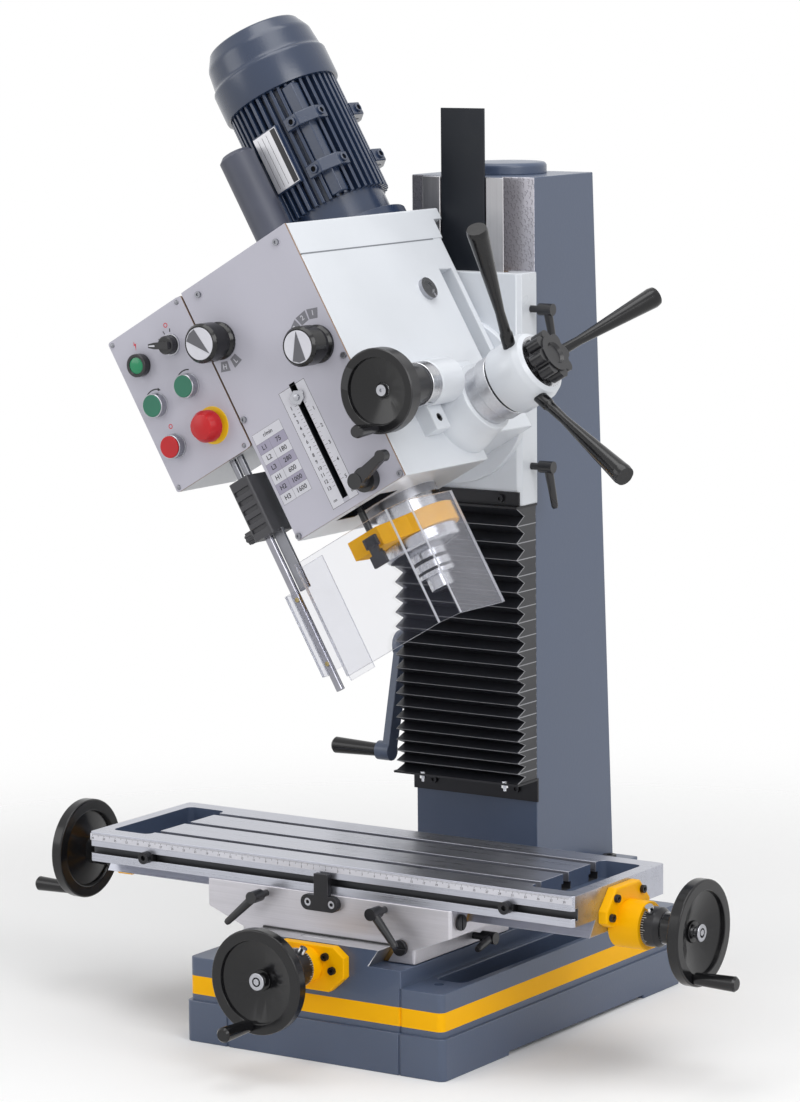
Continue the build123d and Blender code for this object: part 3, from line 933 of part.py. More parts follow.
# Safety guard: rod, clamp strip, screws and the clear bent shield
shield_path = [(-118, -311), (53, -311), (79, -292), (79, -184)]
inner_path = [(75, -184), (75, -290), (51.7, -307), (-118, -307)]
shield = prism_z(shield_path + inner_path, -320, -153)
strip = block(GUARD_U - 14, GUARD_U + 36, -307, -293, -304, -183)
strip -= rod_z(6, -305, -182, GUARD_U, GUARD_Y)
guard_rod = rod_z(6, -330, -30, GUARD_U, GUARD_Y)
guard_screws = [rod_y(4, -309, -307, GUARD_U + 3, v) for v in (-195, -291)]
nodes["safety_guard"] = ON_HEAD * group(shield, strip, guard_rod, *guard_screws)

os.makedirs("parts", exist_ok=True)
for name, shape in nodes.items():
    export_step(shape, "parts/" + name + ".step")
print(len(nodes), "nodes")
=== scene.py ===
import math

import bmesh
import bpy
from mathutils import Matrix, Vector


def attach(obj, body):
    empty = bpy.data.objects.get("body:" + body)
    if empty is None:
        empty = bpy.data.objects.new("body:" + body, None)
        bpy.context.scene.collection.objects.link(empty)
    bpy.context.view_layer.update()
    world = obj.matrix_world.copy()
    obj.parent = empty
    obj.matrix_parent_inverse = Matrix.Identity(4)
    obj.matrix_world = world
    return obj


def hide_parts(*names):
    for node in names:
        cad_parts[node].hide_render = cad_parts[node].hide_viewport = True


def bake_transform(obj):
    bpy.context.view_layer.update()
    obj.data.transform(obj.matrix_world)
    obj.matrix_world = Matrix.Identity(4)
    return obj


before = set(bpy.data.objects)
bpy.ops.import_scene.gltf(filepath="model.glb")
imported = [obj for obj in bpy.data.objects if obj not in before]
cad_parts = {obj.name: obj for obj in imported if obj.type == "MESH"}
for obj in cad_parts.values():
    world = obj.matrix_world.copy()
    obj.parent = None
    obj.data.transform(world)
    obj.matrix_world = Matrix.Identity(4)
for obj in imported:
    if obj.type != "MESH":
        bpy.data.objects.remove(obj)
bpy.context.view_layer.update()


# Base: one iron casting with a chip tray, two coolant troughs and the cross way on top.
# It is sprayed with slate enamel, a yellow band is masked round it, and the way is ground bright.
def copied(*nodes):
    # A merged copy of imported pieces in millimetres, with flat faces instead of triangles
    bm = bmesh.new()
    for node in nodes:
        bm.from_mesh(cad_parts[node].data)
    bmesh.ops.scale(bm, vec=(1000, 1000, 1000), verts=bm.verts)
    bmesh.ops.remove_doubles(bm, verts=bm.verts, dist=0.003)
    bmesh.ops.dissolve_limit(bm, angle_limit=math.radians(0.4), verts=bm.verts, edges=bm.edges)
    return bm


def paint(bm, index, where):
    # Gives the faces whose middle lies in a place another of the piece's finishes
    for face in bm.faces:
        if where(face.calc_center_median()):
            face.material_index = index


def bevelled(bm, edges, width, slide=False):
    return bmesh.ops.bevel(bm, geom=edges, offset=width, offset_type="OFFSET", segments=2, profile=0.5,
        affect="EDGES", material=-1, loop_slide=slide)


def rounded(bm, width):
    # Breaks the sharp outer edges with a small round and notes its middle, where wear starts
    wear = bm.verts.layers.float.new("wear")
    strip = bm.faces.layers.int.new("strip")
    breadth = {face: 2 * face.calc_area() / max(face.calc_perimeter(), 0.001) for face in bm.faces}
    edges = [edge for edge in bm.edges if edge.is_manifold and edge.is_convex
        and edge.calc_face_angle() > math.radians(35)
        and min(breadth[face] for face in edge.link_faces) > width]
    made = bevelled(bm, edges, width, True)
    for face in made["faces"]:
        face[strip] = 1
    for vert in made["verts"]:
        if all(face[strip] for face in vert.link_faces):
            vert[wear] = 1.0


def linked(name, data):
    thing = bpy.data.objects.new(name, data)
    bpy.context.scene.collection.objects.link(thing)
    return thing


def laid(bm, name, materials):
    # Puts a bmesh in millimetres into the scene, in metres
    bmesh.ops.scale(bm, vec=(0.001, 0.001, 0.001), verts=bm.verts)
    mesh = bpy.data.meshes.new(name)
    bm.to_mesh(mesh)
    bm.free()
    for material in materials:
        mesh.materials.append(material)
    return linked(name, mesh)


def finished(bm, name, body, materials, *nodes):
    # A hard piece that moves with a body: smooth where it is round, sharp at its corners
    strip = bm.faces.layers.int.get("strip")
    for face in bm.faces:
        face.smooth = True
    for edge in bm.edges:
        rounding = sum(face[strip] for face in edge.link_faces) if strip else 0
        if rounding != 2:
            edge.smooth = edge.is_manifold and rounding == 0 and edge.calc_face_angle() < math.radians(30)
    piece = laid(bm, name, materials)
    if nodes:
        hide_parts(*nodes)
    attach(piece, body)
    return piece


def packed(node, name, body, width, materials, *places, take=copied, lay=finished):
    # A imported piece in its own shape: other finishes in some places, then rounded edges
    bm = take(node)
    for index, where in places:
        paint(bm, index, where)
    rounded(bm, width)
    lay(bm, name, body, materials, node)


def colour(red, green, blue):
    # A colour as it is seen on a screen, 0 to 255, turned into light values
    light = [((c / 255 + 0.055) / 1.055) ** 2.4 if c > 10 else c / 3295 for c in (red, green, blue)]
    return (*light, 1.0)


def place(tree, kind, inputs=None, **settings):
    # Adds a node, with its settings, and links or sets its inputs
    node = tree.nodes.new(kind)
    for name, value in settings.items():
        setattr(node, name, value)
    for name, value in (inputs or {}).items():
        if isinstance(value, bpy.types.NodeSocket):
            tree.links.new(value, node.inputs[name])
        else:
            node.inputs[name].default_value = value
    return node


def sums(operation, first, second=0.0, third=0.0):
    # A sum in the node tree that its first value belongs to
    inputs = {0: first, 1: second, 2: third}
    return place(first.id_data, "ShaderNodeMath", inputs, operation=operation).outputs[0]


def blended(value, share, rest):
    # A value times a share, added to the rest
    return sums("MULTIPLY_ADD", value, share, rest)


def vectors(operation, first, second=(0, 0, 0)):
    node = place(first.id_data, "ShaderNodeVectorMath", {0: first, 1: second}, operation=operation)
    return node.outputs["Value" if operation == "LENGTH" else "Vector"]


def coordinates(tree):
    return place(tree, "ShaderNodeTexCoord").outputs["Object"]


def worn_edge(tree):
    # How near a point lies to the middle of a rounded edge
    return place(tree, "ShaderNodeAttribute", attribute_name="wear").outputs["Fac"]


def noise(at, scale, detail=3.0, roughness=0.5):
    return place(at.id_data, "ShaderNodeTexNoise", {"Vector": at, "Scale": scale, "Detail": detail,
        "Roughness": roughness}).outputs["Fac"]


def scaled(value, share):
    inputs = {0: value, "Scale": share}
    return place(value.id_data, "ShaderNodeVectorMath", inputs, operation="SCALE").outputs[0]


def mixed(share, first, second):
    inputs = {0: share, 6: first, 7: second}
    return place(share.id_data, "ShaderNodeMix", inputs, data_type="RGBA").outputs[2]


def new_group(name, **inputs):
    # A shared surface: its inputs, and a colour, a roughness and a height as outputs
    group = bpy.data.node_groups.new(name, "ShaderNodeTree")
    kinds = {float: "NodeSocketFloat", tuple: "NodeSocketColor", Vector: "NodeSocketVector"}
    for label, kind in inputs.items():
        group.interface.new_socket(label, in_out="INPUT", socket_type=kinds[kind])
    for label, kind in (("Colour", tuple), ("Roughness", float), ("Height", float)):
        group.interface.new_socket(label, in_out="OUTPUT", socket_type=kinds[kind])
    return group, group.nodes.new("NodeGroupInput").outputs, group.nodes.new("NodeGroupOutput").inputs


def hand_over(group, out, *values):
    # Gives a shared surface its colour, its roughness and its height
    for value, label in zip(values, ("Colour", "Roughness", "Height")):
        group.links.new(value, out[label])


MICRON = 1e-6


def finish_of(name, group, values, relief, **plain):
    # A material: a shared surface with its own values, its relief in microns, and the shader's plain numbers
    material = bpy.data.materials.new(name)
    material.use_nodes = True
    tree = material.node_tree
    shader = tree.nodes["Principled BSDF"]
    skin = place(tree, "ShaderNodeGroup", node_tree=group)
    for label, value in values.items():
        skin.inputs[label].default_value = value
    height = skin.outputs["Height"]
    bump = place(tree, "ShaderNodeBump", {"Height": height, "Strength": 1.0, "Distance": relief * MICRON})
    tree.links.new(skin.outputs["Colour"], shader.inputs["Base Color"])
    tree.links.new(skin.outputs["Roughness"], shader.inputs["Roughness"])
    tree.links.new(bump.outputs["Normal"], shader.inputs["Normal"])
    for label, value in plain.items():
        shader.inputs[label.replace("_", " ")].default_value = value
    return material


enamel, given, out = new_group("sprayed enamel", Colour=tuple, Worn=tuple, Roughness=float, Wear=float)
at = coordinates(enamel)
cloud = noise(at, 6.0, 4.0)
peel = noise(at, 240.0, 2.0)
chips = noise(at, 48.0, 8.0, 0.72)
edge = worn_edge(enamel)
bare = blended(chips, 0.9, sums("MULTIPLY", edge, given["Wear"]))
bare = place(enamel, "ShaderNodeMapRange", {"Value": bare, "From Min": 0.84, "From Max": 0.96}).outputs[0]
tint = blended(cloud, 0.16, 0.92)
gloss = blended(cloud, 0.14, sums("ADD", given["Roughness"], -0.07))
hand_over(enamel, out, mixed(bare, scaled(given["Colour"], tint), given["Worn"]),
    blended(bare, 0.25, gloss), blended(bare, -0.6, peel))

ground, given, out = new_group("ground metal", Colour=tuple, Grain=Vector, Roughness=float)
at = coordinates(ground)
along = vectors("MULTIPLY", at, given["Grain"])
lines = noise(along, 1.0, 4.0, 0.6)
bands = noise(scaled(along, 0.09), 1.0, 3.0)
stain = noise(at, 11.0, 5.0, 0.6)
edge = worn_edge(ground)
grain = blended(lines, 0.6, sums("MULTIPLY", bands, 0.4))
tint = blended(grain, 0.5, blended(stain, 0.22, 0.62))
# Lighter at the middle of rounded edges: partly rubbed bright, partly a painted edge highlight.
tint = blended(edge, 0.12, tint)
gloss = blended(grain, 0.3, sums("ADD", given["Roughness"], -0.15))
hand_over(ground, out, scaled(given["Colour"], tint),
    blended(stain, 0.12, sums("ADD", gloss, -0.06)), grain)


def sprayed(name, tone, worn, roughness, wear, relief, **plain):
    # An enamel: its tone, what shows where it is chipped, and how uneven its skin is
    values = {"Colour": colour(*tone), "Worn": colour(*worn), "Roughness": roughness, "Wear": wear}
    return finish_of(name, enamel, values, relief, **plain)


def machined(name, tone, grain, roughness, relief, metallic=1.0):
    # A cut or ground metal: its tone, and how fine the grain is along each direction
    values = {"Colour": colour(*tone), "Grain": Vector(grain), "Roughness": roughness}
    return finish_of(name, ground, values, relief, Metallic=metallic)


def split(bm, direction, *levels):
    # Cuts edges across a piece at some levels, so that a finish can stop there
    for level in levels:
        bmesh.ops.bisect_plane(bm, geom=bm.verts[:] + bm.edges[:] + bm.faces[:], dist=0.0001,
            plane_co=Vector(direction) * level, plane_no=direction)


slate_enamel = sprayed("slate enamel", (74, 86, 109), (120, 124, 130), 0.36, 0.42, 120, Coat_Weight=0.15)
yellow_enamel = sprayed("yellow enamel", (250, 183, 0), (52, 54, 58), 0.42, 0.3, 80, Specular_IOR_Level=0.12)
way_iron = machined("ground way iron", (196, 196, 198), (900, 8, 900), 0.33, 20, 0.9)
UPWARDS = (0, 0, 1)
BAND_FOOT, BAND_TOP, BAND_X, BAND_Y = 67.0, 93.0, 199, 306
WAY_FOOT, WAY_TOP, WAY_HALF, WAY_FRONT, WAY_BACK = 143.2, 167.0, 107.5, -315.9, 83.9
base = copied("base_casting")
split(base, UPWARDS, BAND_FOOT, BAND_TOP)
paint(base, 1, lambda c: BAND_FOOT < c.z < BAND_TOP and (abs(c.x) > BAND_X or abs(c.y) > BAND_Y))
paint(base, 2, lambda c: c.z > WAY_FOOT and abs(c.x) < WAY_HALF and WAY_FRONT < c.y < WAY_BACK)
rounded(base, 1.2)
finished(base, "base", "frame", [slate_enamel, yellow_enamel, way_iron], "base_casting")


def give(verts, index):
    # Gives the faces at some corners one of the piece's finishes
    for face in {face for vert in verts for face in vert.link_faces}:
        face.material_index = index


def bar(bm, low, high, index=0):
    # A plain thin bar between two corners, for strips, rules and frames
    corners = bmesh.ops.create_cube(bm, size=1)["verts"]
    bmesh.ops.scale(bm, vec=[b - a for a, b in zip(low, high)], verts=corners)
    bmesh.ops.translate(bm, vec=[(a + b) / 2 for a, b in zip(low, high)], verts=corners)
    give(corners, index)
    return corners


plug = bmesh.new()
bar(plug, (-32, -296.5, 153), (32, -283, WAY_TOP - 0.1))
rounded(plug, 0.5)
finished(plug, "way_end_plug", "frame", [way_iron])

# Column: a tapered box casting, slate like the base, with the dovetail for the lift on its front.
# The dovetail is scraped in by hand, which leaves rows of small half-moon marks that hold oil.
scraped, given, out = new_group("scraped iron", Colour=tuple, Spacing=float, Roughness=float)
at = coordinates(scraped)
cells = vectors("DIVIDE", at, given["Spacing"])
dabs = place(scraped, "ShaderNodeTexVoronoi", {"Vector": cells, "Scale": 1.0, "Randomness": 0.9})
offset = vectors("SUBTRACT", cells, dabs.outputs["Position"])
far = vectors("LENGTH", offset)
near = vectors("LENGTH", vectors("ADD", offset, (0.19, 0.0, 0.07)))
moon = sums("MULTIPLY", sums("LESS_THAN", far, 0.5),
    sums("GREATER_THAN", near, 0.44))
stroke = noise(at, 420.0, 3.0)
tint = blended(moon, -0.34, blended(stroke, 0.25, 0.85))
hand_over(scraped, out, scaled(given["Colour"], tint),
    blended(moon, 0.18, given["Roughness"]), blended(moon, -0.7, stroke))
hand_work = {"Colour": colour(178, 176, 183), "Spacing": 0.0055, "Roughness": 0.36}
scraped_iron = finish_of("scraped iron", scraped, hand_work, 60, Metallic=0.85)
tail_iron = machined("ground dovetail iron", (164, 163, 165), (900, 900, 8), 0.36, 20, 0.85)
LIFT_FOOT, SCRAPED_Y, TAIL_Y = 331.0, 101.2, 100.9
column = copied("column")
split(column, UPWARDS, LIFT_FOOT)
paint(column, 1, lambda c: c.z > LIFT_FOOT + 0.1 and c.y < SCRAPED_Y)
paint(column, 2, lambda c: c.z > LIFT_FOOT + 0.1 and c.y < TAIL_Y)
rounded(column, 1.2)
finished(column, "column", "frame", [slate_enamel, scraped_iron, tail_iron], "column")
packed("column_cap", "column_cap", "frame", 0.8, [slate_enamel])

# Screws of the stand: hardened socket screws with a black oxide skin, dull and slightly oily.
# They hold the column foot, the feed bracket and the bellows plate.
moulding, given, out = new_group("moulded or blacked skin", Colour=tuple, Roughness=float, Grain=float,
    Smudge=float)
at = coordinates(moulding)
smudge = noise(at, 16.0, 5.0, 0.6)
speck = noise(at, given["Grain"], 2.0)
edge = worn_edge(moulding)
# Lighter where smudged and at the middle of rounded edges: the edges partly rubbed, partly a painted edge
# highlight.
tint = blended(smudge, 0.4, blended(edge, 0.5, 0.8))
blur = sums("MULTIPLY", sums("ADD", smudge, -0.5), given["Smudge"])
hand_over(moulding, out, scaled(given["Colour"], tint),
    blended(blur, 2.0, given["Roughness"]), speck)


def moulded(name, tone, roughness, grain=300, smudge=0.1, relief=10, **plain):
    # A moulded or blacked skin: its tone, how fine its grain is, and how much it is handled
    values = {"Colour": colour(*tone), "Roughness": roughness, "Grain": grain, "Smudge": smudge}
    return finish_of(name, moulding, values, relief, **plain)


black_oxide = moulded("black oxide", (44, 44, 47), 0.38, 900, 0.15, 20, Metallic=0.6)
phenolic = moulded("glossy black phenolic", (20, 20, 22), 0.2, 160, 0.08, 20, Specular_IOR_Level=0.4)
chrome = machined("bright chrome", (228, 229, 232), (60, 60, 60), 0.14, 5)


def dress(material, *nodes):
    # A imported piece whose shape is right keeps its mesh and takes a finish
    for node in nodes:
        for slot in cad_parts[node].material_slots:
            slot.material = material


def peg(bm, radius, low, high, spot=(0, 0), sides=40, index=0, turn=Matrix.Identity(4), top=None):
    # A peg of so many sides that stands on a spot, from one height to another
    matrix = turn @ Matrix.Translation((*spot, (low + high) / 2))
    give(bmesh.ops.create_cone(bm, cap_ends=True, segments=sides, radius1=radius, radius2=top or radius,
        depth=high - low, matrix=matrix)["verts"], index)


dress(black_oxide, "frame_fasteners", "bellows_lower_plate", "bellows_upper_plate")
bolts = bmesh.new()
for x in (-58, 80):
    for sides, radius, low, high in ((6, 4.6, 323.6, 328), (16, 2.2, 319, 323.6), (16, 4.4, 331, 333.4)):
        peg(bolts, radius, low, high, (x, 50), sides)
finished(bolts, "bellows_plate_bolts", "frame", [chrome])

# Cross feed: a yellow cast bracket on the base, the screw in it, a dial with a lock screw, and a dished
# wheel of black phenolic held by a bright cap; the handle turns on its own pin.
packed("y_feed_bracket", "y_bracket", "frame", 1.2, [yellow_enamel])

ground_steel = machined("ground steel", (198, 199, 203), (700, 700, 40), 0.26, 10)
cap_steel = machined("satin cap steel", (176, 177, 183), (60, 60, 60), 0.3, 5)
dial_black = moulded("blacked dial", (36, 36, 39), 0.34, 500, relief=20, Metallic=0.3)
white_mark = moulded("white filled mark", (232, 232, 228), 0.5, 400)


def feed_wheel(name, body, node, shafts, out_from, radius_at):
    # One wheel set: the finishes follow how far a face lies along and off the shaft
    wheel = copied(node)
    paint(wheel, 1, lambda c: out_from(c) > -1 and radius_at(c) > 12.6 or out_from(c) > 33)
    paint(wheel, 2, lambda c: out_from(c) > 42.4 and radius_at(c) < 8.6)
    paint(wheel, 3, lambda c: -43 < out_from(c) < -0.1 and 12.5 < radius_at(c) < 27.2)
    paint(wheel, 2, lambda c: -43 < out_from(c) < -0.1 and radius_at(c) > 27.6)
    for shaft in shafts:
        peg(wheel, 12, 50, 54, index=4, turn=shaft)
    rounded(wheel, 0.8)
    finished(wheel, name, body, [ground_steel, phenolic, chrome, dial_black, cap_steel], node)


def dial_marks(name, body, shafts, foot):
    # White graduations round the dial on each shaft, every fifth one longer
    radius, count = 27, 50
    marks = bmesh.new()
    for shaft in shafts:
        for i in range(count):
            reach = 6.8 if i % 5 == 0 else 4
            mark = bar(marks, (-0.225, radius - 0.15, foot), (0.225, radius + 0.15, foot + reach))
            turn = Matrix.Rotation(2 * math.pi * i / count, 4, "Z")
            bmesh.ops.transform(marks, matrix=shaft @ turn, verts=mark)
    finished(marks, name, body, [white_mark])


def off(spot, *axes):
    # How far a spot lies from the nearest of some axes, seen along them
    return min((spot - Vector(axis)).length for axis in axes)


Y_HUB = Vector((0, -395, 138))
cross_shaft = Matrix.Translation(Y_HUB) @ Matrix.Rotation(math.radians(90), 4, "X")
feed_wheel("y_wheel", "cross_feed", "y_feed_screw", [cross_shaft], lambda c: Y_HUB.y - c.y,
    lambda c: off(c.xz, Y_HUB.xz))
dial_marks("y_dial_marks", "cross_feed", [cross_shaft], -42.4)
packed("y_grip", "y_handle", "cross_grip", 0.8, [phenolic])

# Saddle: an iron casting ground on its front and sides, running on the base and carrying the table.
# Bronze nuts, gibs and their slotted screws sit in it; clamp levers and the stop block are blacked steel.
saddle_iron = machined("ground saddle iron", (200, 198, 204), (10, 600, 600), 0.4, 20, 0.65)
lever_black = moulded("cast lever black", (34, 34, 37), 0.3, 420, 0.12, 40)
packed("saddle", "saddle", "saddle", 1.0, [saddle_iron])
bronze = machined("machined bronze", (190, 150, 92), (300, 300, 300), 0.35, 10)
wiper = bmesh.new()
bar(wiper, (-106, -282.8, WAY_TOP), (104, -281, WAY_TOP + 2.2))
finished(wiper, "saddle_wiper", "saddle", [lever_black])
packed("saddle_nuts_and_gibs", "saddle_gibs", "saddle", 0.5, [bronze, black_oxide],
    (1, lambda c: c.y < -281.2 or c.x > 201.2))
STOP_SCREWS = ((-26.5, 213), (12.5, 213))
# The screw heads are bright steel; their hex sockets take the block's black oxide as painted shade inside
# them.
packed("table_stop_block", "stop_block", "saddle", 0.6, [black_oxide, cap_steel],
    (1, lambda c: c.y > -289.2 and off(c.xz, *STOP_SCREWS) < 5.6),
    (0, lambda c: c.y > -288.8 and off(c.xz, *STOP_SCREWS) < 3.4))
for node, body in (("x_lock_left", "table_lock_left"), ("x_lock_right", "table_lock_right"),
        ("y_lock", "saddle_lock"), ("z_lock_upper", "slide_lock_upper"),
        ("z_lock_lower", "slide_lock_lower")):
    packed(node, node + "_lever", body, 0.9, [lever_black])

# Table: planed and ground iron with three tee slots, a coolant trough at each end painted slate,
# a drain strainer, a groove for the stop dogs and a white rule along its front edge.
TABLE_X, TABLE_Y = -9.0, -158.0
SLOT_RUN, TROUGH_END, SLOT_NECK, TABLE_TOP = 316, 380.5, 256, 266.9
table_iron = machined("ground table iron", (184, 186, 196), (7, 800, 800), 0.3, 20, 0.9)
# A dark iron for the tee slots and the dog groove: partly their unground cut iron, partly painted shade
# inside them.
slot_iron_with_painted_shade = machined("cut slot iron with painted shade", (74, 75, 79), (12, 500, 500), 0.45, 30, 0.7)
table = copied("table")
split(table, (1, 0, 0), TABLE_X - SLOT_RUN, TABLE_X + SLOT_RUN)


def in_hollow(c, near, far, half, top):
    # Whether a face lies in one of the table's hollows, counted from the table's middle
    return near < abs(c.x - TABLE_X) < far and abs(c.y - TABLE_Y) < half and 242 < c.z < top


# The tee slots' walls and floors take the dark iron, partly as painted shade.
paint(table, 2, lambda c: in_hollow(c, -1, SLOT_RUN + 0.5, 85, SLOT_NECK))
paint(table, 1, lambda c: in_hollow(c, SLOT_RUN - 0.5, TROUGH_END, 93.5, TABLE_TOP))
# So does the dog groove along the front, partly as painted shade.
paint(table, 2, lambda c: -277.9 < c.y < -266 and 233 < c.z < 250 and abs(c.x - TABLE_X) < 399.9)
rounded(table, 0.45)
finished(table, "table", "table", [table_iron, slate_enamel, slot_iron_with_painted_shade], "table")


def lettering(bm, text, size, turn, index):
    # Printed figures: a text outline with a trace of thickness, made a mesh, then put in place
    curve = bpy.data.curves.new("print", "FONT")
    curve.body, curve.size, curve.align_x, curve.align_y = text, size, "CENTER", "CENTER"
    curve.resolution_u, curve.extrude, curve.offset = 2, 0.05, size * 0.012
    holder = bpy.data.objects.new("print", curve)
    mesh = bpy.data.meshes.new_from_object(holder)
    mesh.transform(turn)
    for polygon in mesh.polygons:
        polygon.material_index = index
    bm.from_mesh(mesh)
    bpy.data.objects.remove(holder)
    bpy.data.curves.remove(curve)
    bpy.data.meshes.remove(mesh)


rule_white = moulded("rule white", (210, 210, 218), 0.42, 300, 0.15)
print_black = moulded("black print", (38, 38, 42), 0.5)
RULE_LEFT, RULE_RIGHT, RULE_FOOT, RULE_TOP = -407.0, 389.0, 255.5, 265.0
FACE_Y = -278.0
facing_front = Matrix.Rotation(math.radians(90), 4, "X")
rule = bmesh.new()
bar(rule, (RULE_LEFT, FACE_Y - 0.5, RULE_FOOT), (RULE_RIGHT, FACE_Y, RULE_TOP))
for step in range(394):
    x = RULE_LEFT + 4 + step * 2
    tall = 4.2 if step % 5 == 0 else 2.2
    bar(rule, (x - 0.24, FACE_Y - 0.56, RULE_TOP - tall), (x + 0.24, FACE_Y - 0.49, RULE_TOP - 0.2), 1)
    if step % 10 == 0:
        spot = Matrix.Translation((x, FACE_Y - 0.52, RULE_FOOT + 2.6))
        lettering(rule, str(abs(step // 5 - 39)), 4.4, spot @ facing_front, 1)
finished(rule, "table_rule", "table", [rule_white, print_black])


def around(spot, radius, angle):
    # A place at a distance and an angle from a spot
    return spot[0] + radius * math.cos(angle), spot[1] + radius * math.sin(angle)


STRAINER, TROUGH_FLOOR = (338, -96), 243.0
strainer = bmesh.new()
peg(strainer, 15, TROUGH_FLOOR, TROUGH_FLOOR + 1.4, STRAINER, top=14)
for ring, holes in ((0, 1), (5, 6), (10, 12)):
    for i in range(holes):
        hole = around(STRAINER, ring, 2 * math.pi * i / holes)
        peg(strainer, 1.5, TROUGH_FLOOR + 1.1, TROUGH_FLOOR + 1.5, hole, 12, 1)
finished(strainer, "trough_strainer", "table", [ground_steel, print_black])

# Table ends: yellow brackets with blacked screws, stop dogs in the front groove, and the long screw with a
# wheel, dial and handle at each end.
END_SCREWS = ((-192, 250), (-124, 250), (-205, 226), (-111, 226))
LEFT_TRIM = 185
ends = copied("x_brackets")
left_faces = {face for face in ends.faces if face.calc_center_median().x < 0}
left_edges = {edge for face in left_faces for edge in face.edges}
left_verts = {vert for edge in left_edges for vert in edge.verts}
cut = bmesh.ops.bisect_plane(ends, geom=[*left_faces, *left_edges, *left_verts], dist=0.0001,
    clear_inner=True, plane_co=(0, 0, LEFT_TRIM), plane_no=UPWARDS)["geom_cut"]
bmesh.ops.holes_fill(ends, edges=[item for item in cut if isinstance(item, bmesh.types.BMEdge)])
paint(ends, 1, lambda c: abs(c.x - TABLE_X) > 414.02 and off(c.yz, *END_SCREWS) < 5.8)
rounded(ends, 1.0)
finished(ends, "x_end_brackets", "table", [yellow_enamel, black_oxide], "x_brackets")
for side in ("left", "right"):
    packed("stop_dog_" + side, "table_dog_" + side, "dog_" + side, 0.6, [black_oxide])
dress(ground_steel, "x_screw")
X_HUBS = {-1: 451, 1: 472}
X_SHAFT = (TABLE_Y, 210)
long_shafts = [Matrix.Translation((TABLE_X + side * hub, *X_SHAFT))
    @ Matrix.Rotation(math.radians(90 * side), 4, "Y") for side, hub in X_HUBS.items()]
feed_wheel("x_wheels", "long_feed", "x_handwheels", long_shafts,
    lambda c: abs(c.x - TABLE_X) - X_HUBS[1 if c.x > 0 else -1],
    lambda c: off(c.yz, X_SHAFT))
dial_marks("x_dial_marks", "long_feed", long_shafts, -25.4)
for side in ("left", "right"):
    packed("x_grip_" + side, "x_handle_" + side, "long_grip_" + side, 0.8, [phenolic])

# Lift: a cast crank on the column's left side, its handle, and the vertical screw inside the column.
# The white enamelled slide wraps the dovetail and carries the head's swivel.
CRANK_PIN = (90, 348.2)
packed("z_crank", "lift_crank", "column_crank", 1.0, [slate_enamel, ground_steel],
    (1, lambda c: c.x > -126 or off(c.yz, CRANK_PIN) < 4.8))
packed("z_crank_grip", "lift_handle", "crank_grip", 0.8, [phenolic])
dress(ground_steel, "z_screw")
white_enamel = sprayed("white enamel", (215, 219, 225), (176, 180, 186), 0.3, 0.3, 80, Coat_Weight=0.2)
packed("head_slide", "slide", "slide", 1.2, [white_enamel, way_iron],
    (1, lambda c: c.y > 74.9 and abs(c.x) < 86 and 726.2 < c.z < 1051.8))
fittings = copied("slide_fittings")
paint(fittings, 1, lambda c: c.y < 60)
finished(fittings, "slide_nut_and_gib", "slide", [bronze, black_oxide], "slide_fittings")
cover_black = moulded("satin cover black", (23, 27, 34), 0.42, 300, 0.2, 30, Specular_IOR_Level=0.3)
packed("way_cover", "way_cover", "slide", 0.8, [cover_black])

# Bellows: coated black fabric folded in pleats, with a pale band on every outer fold.
# It is bolted between the plate on the column and the plate under the slide.
FOLDS = 20
BELLOWS_FOOT = LIFT_FOOT
BELLOWS_TOP = 723.0
RIDGE = (103.0, 48.0)
VALLEY = (102.5, 69.0)
BELLOWS_BACK = 99.5
fold_black = moulded("coated bellows fabric", (33, 34, 39), 0.36, 1400, 0.2, 60)
pale_fold_band = moulded("pale fold band", (150, 151, 155), 0.45, 900, 0.2, 40)
bellows = bmesh.new()


def fold_line(level):
    t = level / (2 * FOLDS)
    z = BELLOWS_FOOT + (BELLOWS_TOP - BELLOWS_FOOT) * (0.72 * t + 0.28 * t * t)
    half, front = VALLEY if level % 2 else RIDGE
    return [(-half, BELLOWS_BACK, z), (-half, front, z), (half, front, z), (half, BELLOWS_BACK, z)]


corners = [bellows.verts.new(point) for point in fold_line(0)]
line = [bellows.edges.new(pair) for pair in zip(corners, corners[1:])]
for level in range(1, 2 * FOLDS + 1):
    made = bmesh.ops.extrude_edge_only(bellows, edges=line)["geom"]
    line = [item for item in made if isinstance(item, bmesh.types.BMEdge) and len(item.link_faces) == 1
        and all(vert in made for vert in item.verts)]
    below, above = fold_line(level - 1), fold_line(level)
    for vert in {vert for edge in line for vert in edge.verts}:
        corner = min(range(4), key=lambda k: (vert.co - Vector(below[k])).length)
        vert.co = above[corner]
bmesh.ops.recalc_face_normals(bellows, faces=bellows.faces)
pale_ridges = [edge for edge in bellows.edges if abs(edge.verts[0].co.z - edge.verts[1].co.z) < 0.01
    and all(vert.co.y < 50 or abs(vert.co.x) > 102.5 for vert in edge.verts)]
upright = [edge for edge in bellows.edges if abs(edge.verts[0].co.z - edge.verts[1].co.z) > 0.01
    and all(vert.co.y < 90 for vert in edge.verts)]
# A pale band along every outer fold and every front corner.
for face in bevelled(bellows, pale_ridges + upright, 0.7)["faces"]:
    face.material_index = 1
bmesh.ops.solidify(bellows, geom=bellows.faces[:], thickness=1.0)
for edge in bellows.edges:
    edge.smooth = False
bellows_piece = laid(bellows, "bellows_folds", [fold_black, pale_fold_band])
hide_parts("bellows")
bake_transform(bellows_piece)

